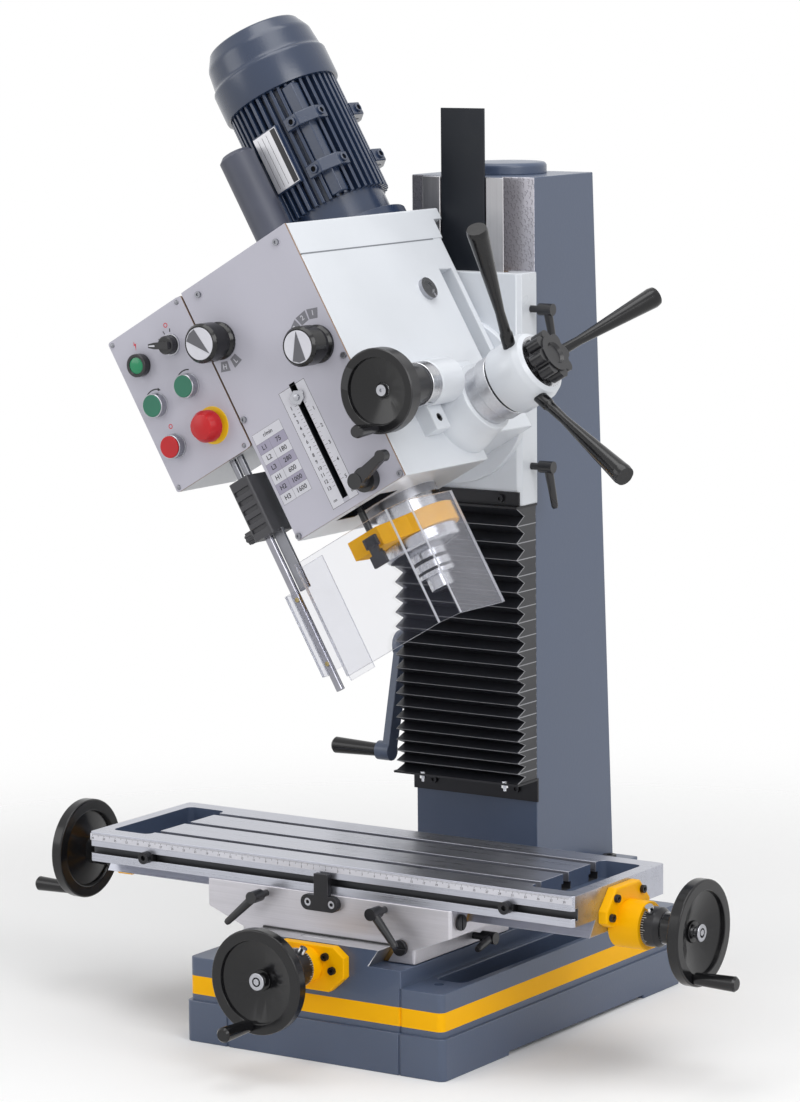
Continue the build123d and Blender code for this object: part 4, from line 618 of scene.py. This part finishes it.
# Head: a box casting with a lid, both in white enamel, swivelled on the slide and tilted in this setting.
# The sizes here are the head's own: across, front to back, and along the spindle.
SWIVEL_Z, TILT = 872, -30
HEAD_TURN = Matrix.Translation((0, 0, SWIVEL_Z)) @ Matrix.Rotation(math.radians(TILT), 4, "Y")


def on_head(*nodes):
    bm = copied(*nodes)
    bmesh.ops.transform(bm, matrix=HEAD_TURN.inverted(), verts=bm.verts)
    return bm


def fixed(bm, name, body, materials, *nodes):
    bmesh.ops.transform(bm, matrix=HEAD_TURN, verts=bm.verts)
    return finished(bm, name, body, materials, *nodes)


def extra(bm, name, body, materials):
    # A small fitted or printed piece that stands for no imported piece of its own
    fixed(bm, name, body, materials)


def head_piece(*piece):
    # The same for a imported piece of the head, worked on in the head's own sizes
    packed(*piece, take=on_head, lay=fixed)


# The faces of the hollow in front of the quill take the satin black: painted shade inside the hollow.
head_piece("head_casting", "head_casting_white", "head", 1.6, [white_enamel, cover_black],
    (1, lambda c: abs(c.x) < 40.5 and -301.9 < c.y < -244 and -126 < c.z < 72.5))
# A grey darker than the enamel for the lid's seam: painted shade in the joint.
seam_shade_grey = moulded("lid seam shade grey", (120, 124, 130), 0.6, 300, relief=20)
head_piece("head_cover", "head_lid", "head", 1.2, [white_enamel])
LID_FOOT = 204.0
# Grey bars along the lid's seam on each side: the joint, darkened as painted shade.
seam_bars = bmesh.new()
for u in (-101.3, 99.7):
    bar(seam_bars, (u, -301.5, LID_FOOT - 0.9), (u + 1.6, 20, LID_FOOT + 0.9))
extra(seam_bars, "lid_seam_shade", "head", [seam_shade_grey])

# Front plate: painted sheet with a printed face, the depth slot, the speed table and plain figures by the
# knobs. Its cut edge shows brown, and six bright screws hold it.
PLATE_Y = -305.0
plate_lilac = sprayed("painted plate", (190, 189, 201), (150, 150, 156), 0.42, 0.1, 30)
plate_edge = moulded("brown plate edge", (142, 118, 100), 0.5)
panel = on_head("front_panel")
panel.normal_update()
for face in panel.faces:
    middle = face.calc_center_median()
    if abs(face.normal.y) < 0.5:
        face.material_index = 1 if abs(middle.x) > 99 or not -125 < middle.z < 250 else 2
fixed(panel, "front_plate", "head", [plate_lilac, plate_edge, print_black], "front_panel")


def slab(bm, corners, thick, index=0):
    # A flat face through some corners, drawn out to a thickness
    face = bm.faces.new([bm.verts.new(corner) for corner in corners])
    face.material_index = index
    made = bmesh.ops.extrude_face_region(bm, geom=[face])["geom"]
    moved = [item for item in made if isinstance(item, bmesh.types.BMVert)]
    bmesh.ops.translate(bm, vec=thick, verts=moved)
    give(moved, index)


def cut_plate(bm, outline, front, thick, index):
    # A flat piece: an outline seen from the front, given a thickness backwards
    slab(bm, [(u, front, v) for u, v in outline], (0, thick, 0), index)


prints = bmesh.new()


def print_bar(low, high, index, rise=0.12):
    bar(prints, (low[0], PLATE_Y - rise, low[1]), (high[0], PLATE_Y - 0.01, high[1]), index)


def print_text(text, size, spot, index, turn=0.0):
    at = Matrix.Translation((spot[0], PLATE_Y - 0.2, spot[1])) @ Matrix.Rotation(-turn, 4, "Y")
    lettering(prints, text, size, at @ facing_front, index)


tag_grey = moulded("printed tag grey", (120, 120, 128), 0.45)
row_lilac = moulded("printed row lilac", (160, 156, 176), 0.45)
label_white = moulded("printed label white", (212, 212, 220), 0.42)
print_red = moulded("red print", (206, 52, 66), 0.5)
PRINTS = [print_black, tag_grey, row_lilac, label_white, print_red]
for low, high in (((-26, -115), (-5.2, 58.5)), ((5.2, -115), (21, 58.5))):
    print_bar(low, high, 3, 0.08)
for low, high in (((-26.3, -115.3), (-25.8, 58.8)), ((20.8, -115.3), (21.3, 58.8)),
        ((-26.3, -115.3), (21.3, -114.8)), ((-26.3, 58.3), (21.3, 58.8))):
    print_bar(low, high, 0)
ZERO_V = 42.0
HALF_LINE = 0.2
for side, count, pitch, every, figure_u in ((-1, 27, 5, 2, -17.5), (1, 21, 6.35, 4, 15.5)):
    for i in range(count):
        v = ZERO_V - pitch * i
        left, right = sorted((side * 6.2, side * (9.5 if i % every else 11.5)))
        print_bar((left, v - HALF_LINE), (right, v + HALF_LINE), 0)
        if i % every == 0 and i:
            print_text(str(i // every), 7.4, (figure_u, v), 0)
print_text("cm", 5.5, (-17, -106), 0)
print_text("in", 5.5, (15, -106), 0)
LEFT_U, MIDDLE_U, RIGHT_U = -95.0, -72.0, -43.0
SPEEDS = (("L1", "75"), ("L2", "180"), ("L3", "280"), ("H1", "600"), ("H2", "1000"), ("H3", "1600"))
HEAD_V, ROW = 30, 15.0
FOOT_V = HEAD_V - 7 * ROW
print_bar((LEFT_U, FOOT_V), (RIGHT_U, HEAD_V), 3, 0.08)
print_text("r/min", 8, ((LEFT_U + RIGHT_U) / 2, HEAD_V - ROW / 2), 0)
for i, (gear, speed) in enumerate(SPEEDS):
    v = HEAD_V - ROW * (i + 1.5)
    if i % 2 == 0:
        print_bar((LEFT_U, v - ROW / 2), (RIGHT_U, v + ROW / 2), 2, 0.1)
    print_text(gear, 9.4, ((LEFT_U + MIDDLE_U) / 2, v), 0)
    print_text(speed, 9.4, ((MIDDLE_U + RIGHT_U) / 2, v), 0)
for i in range(8):
    v = HEAD_V - ROW * i
    print_bar((LEFT_U, v - HALF_LINE), (RIGHT_U, v + HALF_LINE), 1)
for u, top in ((LEFT_U, HEAD_V), (MIDDLE_U, HEAD_V - ROW), (RIGHT_U, HEAD_V)):
    print_bar((u - HALF_LINE, FOOT_V), (u + HALF_LINE, top), 1)
KNOBS = ((-75.0, 165.0), (66.0, 87.0))
TAG_RINGS = (29, 35)
TAGS = ((("H", 252), ("L", 285)), (("1", 72), ("2", 97), ("3", 122)))
TAG = ((0, -11), (14, -11), (14, 11), (0, 11))
for knob, near, tags in zip(KNOBS, TAG_RINGS, TAGS):
    upright = math.pi / 2 if knob == KNOBS[0] else -math.pi / 2
    for figure, angle in tags:
        a = math.radians(angle)
        outline = [around(knob, near + r, a + math.radians(s)) for r, s in TAG]
        cut_plate(prints, outline, PLATE_Y - 0.1, 0.09, 1)
        print_text(figure, 10, around(knob, near + 7, a), 3, a + upright)
extra(prints, "plate_print", "head", PRINTS)

# Control box: a folded sheet box in light grey with a painted door, four corner screws and round openings
# for the switches. The pilot lamp, the clear marks and the bezels belong to the door.
box_grey = sprayed("light grey enamel", (186, 188, 192), (150, 150, 156), 0.38, 0.15, 50)
box = on_head("control_box")
bmesh.ops.translate(box, vec=(4, 0, 0), verts=[vert for vert in box.verts if vert.co.x > -108.5])
box.normal_update()
for face in box.faces:
    middle = face.calc_center_median()
    if middle.y < -300.9:
        face.material_index = 1 if face.normal.y < -0.5 else 2
fixed(box, "control_box_sheet", "head", [box_grey, plate_lilac, plate_edge], "control_box")


def turned(bm, profile, spot, index=0, steps=40, stand=facing_front):
    # A round piece standing on the plate: a half profile of radius and height, spun full circle
    points = [bm.verts.new((radius, 0, height)) for radius, height in profile]
    line = [bm.edges.new(pair) for pair in zip(points, points[1:])]
    before = set(bm.faces)
    bmesh.ops.spin(bm, geom=points + line, cent=(0, 0, 0), axis=(0, 0, 1), angle=2 * math.pi, steps=steps,
        use_merge=True)
    made = [face for face in bm.faces if face not in before]
    bmesh.ops.remove_doubles(bm, verts=list({vert for face in made for vert in face.verts}), dist=0.001)
    made = [face for face in bm.faces if face not in before]
    bmesh.ops.recalc_face_normals(bm, faces=made)
    for face in made:
        face.material_index = index
    verts = list({vert for face in made for vert in face.verts})
    bmesh.ops.transform(bm, matrix=Matrix.Translation(spot) @ stand, verts=verts)


def seated(bm, profile, spot, index=0, steps=40):
    turned(bm, profile, (spot[0], PLATE_Y, spot[1]), index, steps)


SELECTOR, FORWARD, REVERSE, STOP, EMERGENCY = (-151, 199), (-153, 137), (-214, 138), (-216, 76), (-145, 72)
bezels = bmesh.new()
for spot in (FORWARD, REVERSE, STOP):
    seated(bezels, ((15.4, 0.2), (17.4, 0.2), (17.4, 1.4), (16.8, 1.8), (16.8, 13.4), (16.2, 14), (15.4, 14),
        (15.4, 0.2)), spot)
seated(bezels, ((13.4, 0.2), (15, 0.2), (15, 2.4), (14.2, 3), (13.4, 3), (13.4, 0.2)), SELECTOR)
seated(bezels, ((8.6, 0.1), (26, 0.1), (26, 0.7), (25.6, 1.1), (8.6, 1.1), (8.6, 0.1)), EMERGENCY, 1)
for spot in ((-241, 25), (-241, 244), (-113, 25), (-113, 244)):
    seated(bezels, ((0, 2.4), (1.4, 2.2), (3.0, 1.2), (3.5, 0.1), (0, 0.1)), spot, 2, 20)
estop_yellow = moulded("yellow switch plate", (238, 196, 30), 0.38)
screw_steel = machined("plated screw steel", (138, 139, 145), (60, 60, 60), 0.3, 5)
extra(bezels, "switch_bezels", "head", [cap_steel, estop_yellow, screw_steel])
marks = bmesh.new()
MARK_Y = PLATE_Y - 0.12


def arc_mark(bm, spot, start, sweep, radius=21):
    # A curved arrow: a short line swept round a centre, and a pointed tip
    ends = [bm.verts.new((radius, 0, 0)), bm.verts.new((radius + 1.7, 0, 0))]
    line = bm.edges.new(ends)
    before = set(bm.faces)
    bmesh.ops.spin(bm, geom=ends + [line], cent=(0, 0, 0), axis=(0, -1, 0), angle=sweep, steps=12)
    made = {vert for face in bm.faces if face not in before for vert in face.verts}
    turn = Matrix.Translation((spot[0], MARK_Y, spot[1])) @ Matrix.Rotation(-start, 4, "Y")
    bmesh.ops.transform(bm, matrix=turn, verts=list(made))
    end, step = start + sweep, math.copysign(0.24, sweep)
    tip = [around(spot, radius + r, a) for r, a in ((-1.8, end), (3.0, end), (0.6, end + step))]
    cut_plate(bm, tip, MARK_Y, 0.1, 0)


def pointing(spot, angle, outline):
    # An outline given along and across a direction, laid at a spot on the plate
    return [Vector(spot) + Matrix.Rotation(math.radians(angle), 2) @ Vector(point) for point in outline]


arc_mark(marks, FORWARD, math.radians(60), math.radians(62))
arc_mark(marks, REVERSE, math.radians(122), math.radians(-62))
for spot in ((-210, 103), (SELECTOR[0] + 5, 226)):
    seated(marks, ((2.2, 0.02), (3.4, 0.02), (3.4, 0.14), (2.2, 0.14), (2.2, 0.02)), spot, 4, 24)
TICK = ((17, -0.7), (22, -0.7), (22, 0.7), (17, 0.7))
for angle in (66, 98, 134):
    cut_plate(marks, pointing(SELECTOR, angle, TICK), MARK_Y, 0.1, 0)
LAMP = (-210.0, 198.0)
FLASH = ((4, 232), (1, 226), (3.4, 226.6), (1.4, 219), (6.4, 228), (4, 227.6))
cut_plate(marks, [(LAMP[0] + u, v) for u, v in FLASH], MARK_Y, 0.1, 4)
extra(marks, "switch_marks", "head", PRINTS)

# Switches: flat green starters and a red stop in chrome bezels, a red mushroom, a black selector.
# The gear knobs are black with a white disc let in at the end and a grey wedge as pointer.
green_cap = moulded("green button plastic", (38, 112, 88), 0.45, 400)
red_cap = moulded("red button plastic", (188, 14, 24), 0.38, 400)
wedge_grey = moulded("wedge grey", (92, 92, 98), 0.4, 400)
for node, body, skin in (("start_forward_button", "start_forward", green_cap),
        ("start_reverse_button", "start_reverse", green_cap),
        ("stop_button", "stop", red_cap), ("emergency_stop", "emergency", red_cap)):
    button = on_head(node)
    if node != "emergency_stop":
        caps = [vert for vert in button.verts if vert.co.y < PLATE_Y - 9]
        bmesh.ops.translate(button, vec=(0, -5, 0), verts=caps)
    rounded(button, 0.7)
    fixed(button, node + "_cap", body, [skin], node)
SELECTED = 154
THUMB = ((-10, -5), (13, -4.5), (23, -2.6), (23, 2.6), (13, 4.5), (-10, 5))
STREAK = ((12, -1.2), (22, -0.8), (22, 0.8), (12, 1.2))
selector = bmesh.new()
seated(selector, ((0, 15), (11, 15), (12.6, 13.6), (13, 0.4), (0, 0.4)), SELECTOR)
cut_plate(selector, pointing(SELECTOR, SELECTED, THUMB), PLATE_Y - 22, 10, 0)
rounded(selector, 1.0)
cut_plate(selector, pointing(SELECTOR, SELECTED, STREAK), PLATE_Y - 22.2, 0.3, 1)
fixed(selector, "selector_knob", "selector", [lever_black, rule_white], "selector_switch")
for node, body, knob, angle in (("gear_knob_left", "range_knob", KNOBS[0], 294),
        ("gear_knob_right", "speed_knob", KNOBS[1], 68)):
    head_piece(node, node + "_body", body, 0.9, [phenolic])
    disc = bmesh.new()
    seated(disc, ((0, 48.5), (21.5, 48.5), (22, 48.1), (22, 47.9), (0, 47.9)), knob)
    wedge = [around(knob, 21, math.radians(angle) + s) for s in (0, 2.62, 3.14, 3.66)]
    cut_plate(disc, wedge, PLATE_Y - 48.8, 0.4, 1)
    extra(disc, node + "_disc", body, [label_white, wedge_grey])
head_piece("quill_lock", "quill_clamp_lever", "quill_clamp", 1.4, [lever_black])

# Fittings of the head: screws, swivel bolts and nuts, the oil sight glass and the pilot lamp.
# Bright or blacked steel, with green plastic and a clear oil window.
lamp_green = moulded("green lamp lens", (0, 136, 88), 0.2, 90, 0.05, 40, Coat_Weight=0.15)
oil_glass = moulded("oil window", (44, 48, 48), 0.08, 60, 0.05, 20, Coat_Weight=1.0)
WINDOW, PLUG = (-54, 130), (-203, -63)
fittings = on_head("head_fittings")
paint(fittings, 1, lambda c: c.y < -300 and off(c.xz, LAMP) < 15.5)
paint(fittings, 2, lambda c: c.y < -309.9 and off(c.xz, LAMP) < 11.5)
paint(fittings, 4, lambda c: c.x > 101 and off(c.yz, WINDOW) < 17)
paint(fittings, 3, lambda c: c.x > 104.9 and off(c.yz, WINDOW) < 9.9)
paint(fittings, 1, lambda c: 110 < c.x < 126 and off(c.yz, PLUG) < 6.5)
fixed(fittings, "head_screws_and_sight", "head",
    [screw_steel, black_oxide, lamp_green, oil_glass, cap_steel], "head_fittings")
lamp = bmesh.new()
seated(lamp, ((11.6, 3.2), (16, 3.2), (16, 13.2), (15.2, 14), (12.4, 14), (11.6, 13.2), (11.6, 3.2)), LAMP)
seated(lamp, ((0, 13.6), (9, 13.4), (11.4, 12.6), (11.4, 9), (0, 9)), LAMP, 1)
extra(lamp, "pilot_lamp", "head", [lever_black, lamp_green])

# Motor: a finned iron barrel with foot yokes at its corners, a pressed fan cover and the capacitor housing.
# Barrel and cover are sprayed glossy blue-grey; the capacitor housing is dull plastic.
motor_enamel = sprayed("motor enamel", (36, 50, 75), (104, 112, 124), 0.26, 0.25, 120,
    Coat_Weight=0.4, Coat_Roughness=0.24)
MOTOR_Y = -16.25
head_piece("motor_housing", "motor_barrel", "head", 0.7, [motor_enamel])
FAN_SHELL = ((0, 584), (60, 583.4), (64, 583.3), (66.6, 582.6), (68.2, 581.2), (69.1, 579.4), (69.7, 578.2),
    (76.4, 566.5), (77.1, 565.2), (78, 563.2), (78.9, 560.4), (79.2, 558), (79.6, 554), (81.4, 538),
    (81.7, 535), (82.2, 532.4), (83.6, 530.2), (85.2, 528.6), (86, 526.4), (86, 524), (86, 485.4),
    (85.2, 482.4), (84, 482), (30, 482), (30, 486), (83, 486), (83, 527), (79, 532), (77, 555),
    (68, 571), (40, 580), (0, 581))
fan = bmesh.new()
turned(fan, FAN_SHELL, (0, MOTOR_Y, 0), 0, 96, Matrix.Identity(4))
fixed(fan, "motor_fan_cover", "head", [motor_enamel], "fan_cover")


def swing(bm, before, angle):
    # Turns what was added since then about the motor's axis
    bmesh.ops.rotate(bm, cent=(0, MOTOR_Y, 0), matrix=Matrix.Rotation(math.radians(angle), 3, "Z"),
        verts=[vert for vert in bm.verts if vert not in before])


CORNERS = (0, 90, 180)
CORNER_BAR = ((44, 46), (44, 64), (64, 64), (64, 46))
YOKE_FACE = 77
YOKE = ((32, 58), (32, YOKE_FACE), (56, YOKE_FACE), (YOKE_FACE, 56), (YOKE_FACE, 32), (58, 32), (58, 58))
YOKE_BARS = ((YOKE, 342, 361), (YOKE, 416, 435), (CORNER_BAR, 308, 478))
yokes = bmesh.new()
for corner in CORNERS:
    before = set(yokes.verts)
    for outline, low, high in YOKE_BARS[:2 if corner else 3]:
        slab(yokes, [(a, MOTOR_Y - b, low) for a, b in outline], (0, 0, high - low))
    swing(yokes, before, corner)
bmesh.ops.recalc_face_normals(yokes, faces=yokes.faces)
rounded(yokes, 1.4)
for corner in CORNERS:
    for u, angle in ((46, corner), (-46, corner + 90)):
        before = set(yokes.verts)
        for v in (351.5, 425.5):
            spot = (u, MOTOR_Y - YOKE_FACE, v)
            turned(yokes, ((0, 0.2), (4, 0.2), (4, 3), (5.8, 3), (6.4, 2.4), (6.4, 0), (0, 0)), spot, 0, 24)
            # A near-black disc in each socket: painted shade inside the socket.
            turned(yokes, ((0, 1.4), (4.2, 1.4), (4.2, 0.6), (0, 0.6)), spot, 1, 24)
        swing(yokes, before, angle)
# Near-black, dull and barely glossy: painted shade for the sockets.
painted_socket_shade = moulded("painted socket shade", (9, 9, 10), 0.7, 400, Specular_IOR_Level=0.1)
extra(yokes, "motor_yokes", "head", [motor_enamel, painted_socket_shade])
plate_silver = machined("blank silver plate", (206, 206, 210), (500, 500, 20), 0.4, 10, 0.7)
blank = bmesh.new()
bar(blank, (-20, MOTOR_Y - 85.7, 348), (22, MOTOR_Y - 85, 432))
for u, wide, margin in ((12, 9, 1), (-13, 0.5, 4), (-5, 0.5, 4), (3, 0.5, 4)):
    bar(blank, (u, MOTOR_Y - 85.85, 348 + margin), (u + wide, MOTOR_Y - 85.6, 432 - margin), 1)
extra(blank, "motor_blank_plate", "head", [plate_silver, print_black])
capacitor_grey = moulded("dull capacitor grey", (70, 73, 86), 0.44, 500, relief=30)
head_piece("capacitor_housing", "capacitor_tank", "head", 1.0, [capacitor_grey])

# Drive inside the head: cut steel gears on ground shafts, in oil, with the rotor above them.
# The spindle and quill come out below; the cast depth collar is yellow with a blacked wing screw.
dress(ground_steel, "motor_rotor", "countershaft", "drive_sleeve")
head_piece("quill", "quill_tube", "quill", 0.6, [ground_steel])
nose = on_head("spindle")
GROOVES = ((-224, -219), (-238, -234))
split(nose, UPWARDS, *GROOVES[0], *GROOVES[1])
# Two bands round the arbor are painted black: painted shade in its grooves.
paint(nose, 1, lambda c: any(low < c.z < high for low, high in GROOVES))
rounded(nose, 0.8)
fixed(nose, "spindle_nose", "spindle", [ground_steel, lever_black], "spindle")
DEPTH_ROD = (-15, -264)
head_piece("depth_collar", "depth_collar_yellow", "quill", 0.8,
    [yellow_enamel, ground_steel, lever_black, chrome],
    (2, lambda c: off(c.xy, DEPTH_ROD) < 5.2), (2, lambda c: c.y < -276.2 and c.z < -150),
    (3, lambda c: c.z > 30 and c.y < -250))
POINTER_Y = PLATE_Y - 3.6
pointer = bmesh.new()
cut_plate(pointer, ((-13, 45), (0, 51), (13, 45), (10, 35), (0, 30), (-10, 35)), POINTER_Y, 1.4, 0)
bmesh.ops.recalc_face_normals(pointer, faces=pointer.faces)
turned(pointer, ((0, 2.6), (2.2, 2.6), (4.2, 2.2), (4.6, 1.4), (4.6, 0), (0, 0)), (0, POINTER_Y, 41), 0, 24)
rounded(pointer, 0.3)
extra(pointer, "depth_pointer", "quill", [cap_steel])

# Quill feed: a white hub and a two-step satin dial on the pinion shaft, three black levers screwed into it,
# and the star knob that lets the worm in.
satin_dial = machined("satin dial", (196, 197, 201), (300, 40, 300), 0.36, 10, 0.85)
FEED_SHAFT, WORM = (-120, -55), (137, -17)
head_piece("feed_hub", "feed_hub_and_dial", "feed", 0.9,
    [ground_steel, satin_dial, print_black, white_enamel],
    (1, lambda c: 152 < c.x < 191.2 and off(c.yz, FEED_SHAFT) > 30),
    (2, lambda c: 190.9 < c.x < 195.2 and off(c.yz, FEED_SHAFT) > 30),
    (3, lambda c: c.x > 194.9 and off(c.yz, FEED_SHAFT) > 14.3))
head_piece("feed_levers", "feed_lever_set", "feed", 0.9, [phenolic])
head_piece("star_knob", "star_knob_black", "clutch_knob", 1.0, [lever_black])
head_piece("fine_feed_wheel", "fine_feed_set", "fine_feed", 0.9,
    [ground_steel, lever_black, phenolic, cap_steel],
    (1, lambda c: c.y < -244.1 and off(c.xz, WORM) > 8),
    (2, lambda c: c.y < -309.9 and off(c.xz, WORM) < 45),
    (3, lambda c: c.y < -323.9 and off(c.xz, WORM) < 7.8))

# Guard: a moulded switch box under the control box, a bright rod through it, and a bent clear acrylic shield
# held by brass screws in a clear strip.
switch_grey = moulded("moulded switch grey", (58, 58, 62), 0.42, 500, 0.12, 40)
head_piece("guard_switch_box", "guard_switch_moulding", "head", 1.0, [switch_grey, screw_steel],
    (1, lambda c: c.z > -13.9))
rod_steel = machined("bright rod steel", (150, 150, 158), (50, 50, 50), 0.2, 4)
brass = machined("brass screw", (160, 146, 106), (300, 300, 300), 0.3, 10)
acrylic = moulded("clear acrylic", (160, 163, 184), 0.03, 30, 0.01,
    Transmission_Weight=0.85, IOR=1.02, Alpha=0.15)
# A whiter, less clear acrylic for the side panel: partly dust, partly a painted sheen.
acrylic_dust_and_sheen = moulded("acrylic with dust and painted sheen", (226, 227, 236), 0.05, 30, 0.02,
    Transmission_Weight=0.7, IOR=1.02, Alpha=0.42)
# A whiter, less clear acrylic for the bends and cut edges: a painted highlight along them.
acrylic_edge_highlight = moulded("acrylic edge with painted highlight", (200, 202, 210), 0.3, 60, 0.05,
    Transmission_Weight=0.3, IOR=1.3)
SHIELD = ((-118, -311), (53, -311), (79, -292), (79, -184))
SHIELD_FOOT, SHIELD_TOP = -320, -153
shield = bmesh.new()
foot = [shield.verts.new((u, y, SHIELD_FOOT)) for u, y in SHIELD]
line = [shield.edges.new(pair) for pair in zip(foot, foot[1:])]
made = bmesh.ops.extrude_edge_only(shield, edges=line)["geom"]
top = [item for item in made if isinstance(item, bmesh.types.BMVert)]
bmesh.ops.translate(shield, vec=(0, 0, SHIELD_TOP - SHIELD_FOOT), verts=top)
# The side panel beyond the second bend takes it, partly as a painted sheen.
paint(shield, 1, lambda c: c.x > 75)
bends = [edge for edge in shield.edges if len(edge.link_faces) == 2]
# The two bends take the edge acrylic: a painted highlight along each bend.
for face in bevelled(shield, bends, 1.6)["faces"]:
    face.material_index = 2
bmesh.ops.recalc_face_normals(shield, faces=shield.faces)
bmesh.ops.solidify(shield, geom=shield.faces[:], thickness=4.0)
# So do the sheet's cut edges: a painted highlight.
for face in shield.faces:
    if min(edge.calc_length() for edge in face.edges) > 3.9 and face.calc_area() < 1100:
        face.material_index = 2
fixed(shield, "guard_shield", "guard", [acrylic, acrylic_dust_and_sheen, acrylic_edge_highlight], "safety_guard")
clip = bmesh.new()
bar(clip, (-158, -306.6, -304), (-119, -304.4, -183))
bar(clip, (-158, -304.2, -304), (-155.6, -293, -183))
bar(clip, (-118, -306.6, -327), (-74, -304.4, -160))
# The strips' narrow edges take it too: a painted highlight.
for face in clip.faces:
    if face.calc_area() < 500:
        face.material_index = 1
extra(clip, "guard_strips", "guard", [acrylic, acrylic_edge_highlight])
post = bmesh.new()
peg(post, 6, -330, -30, (-144, -300), 48)
bar(post, (-137, -298, -186), (-120, -293, -96), 2)
SCREW_HEAD = ((0, 1), (1.6, 1), (1.6, 1.6), (2.6, 1.6), (3.4, 1.0), (3.4, 0), (0, 0))
for v in (-195, -291):
    turned(post, SCREW_HEAD, (-141, -306.8, v), 1, 24)
rounded(post, 0.6)
extra(post, "guard_post", "guard", [rod_steel, brass, screw_steel])

# Studio: a pale floor that fades out round the machine, a white surround, a large soft lamp from the right
# and two weaker ones, and the camera where the photograph was taken.
floor_paint = bpy.data.materials.new("pale floor")
floor_paint.use_nodes = True
tree = floor_paint.node_tree
shader = tree.nodes["Principled BSDF"]
shader.inputs["Roughness"].default_value = 0.9
shader.inputs["Base Color"].default_value = (0.96, 0.96, 0.96, 1)
reach = vectors("LENGTH", coordinates(tree))
fade = place(tree, "ShaderNodeMapRange", {"Value": reach, "From Min": 0.7, "From Max": 2.2, "To Min": 1.0,
    "To Max": 0.0}, interpolation_type="SMOOTHERSTEP").outputs[0]
tree.links.new(fade, shader.inputs["Alpha"])
round_floor = bmesh.new()
bmesh.ops.create_circle(round_floor, cap_ends=True, segments=96, radius=4000)
floor = laid(round_floor, "floor", [floor_paint])

world = bpy.data.worlds.new("studio")
bpy.context.scene.world = world
world.use_nodes = True
tree = world.node_tree
path = place(tree, "ShaderNodeLightPath").outputs
seen = sums("MAXIMUM", path["Is Camera Ray"], sums("MAXIMUM", path["Is Glossy Ray"],
    path["Is Transmission Ray"]))
tree.links.new(blended(seen, 0.45, 0.55), tree.nodes["Background"].inputs["Strength"])
tree.nodes["Background"].inputs["Color"].default_value = (1, 1, 1, 1)


def soft_lamp(name, spot, towards, size, power):
    lamp = bpy.data.lights.new(name, "AREA")
    lamp.shape, lamp.size, lamp.size_y, lamp.energy = "RECTANGLE", size, size, power
    holder = linked(name, lamp)
    holder.location = spot
    holder.rotation_euler = (Vector(towards) - Vector(spot)).to_track_quat("-Z", "Y").to_euler()


soft_lamp("right lamp", (3.2, -1.6, 2.6), (0, 0, 0.7), 2.2, 56)
soft_lamp("left lamp", (-2.6, -3.0, 2.0), (0, 0, 0.7), 2.0, 20)
soft_lamp("top lamp", (0.2, -0.6, 3.6), (0, 0, 0.5), 2.4, 45)

TARGET, DISTANCE = (0.0436, -0.158, 0.6856), 5.688
AZIMUTH, ELEVATION, ROLL = 33.535, 8.188, -0.5265
lens = bpy.data.cameras.new("camera")
lens.sensor_fit, lens.sensor_width, lens.lens = "HORIZONTAL", 36, 187.335
camera = linked("camera", lens)
aim = Matrix.Translation(TARGET)
for degrees, axis in ((AZIMUTH, "Z"), (90 - ELEVATION, "X"), (ROLL, "Z")):
    aim = aim @ Matrix.Rotation(math.radians(degrees), 4, axis)
camera.matrix_world = aim @ Matrix.Translation((0, 0, DISTANCE))
bpy.context.scene.camera = camera
bpy.context.scene.view_settings.view_transform = "Standard"
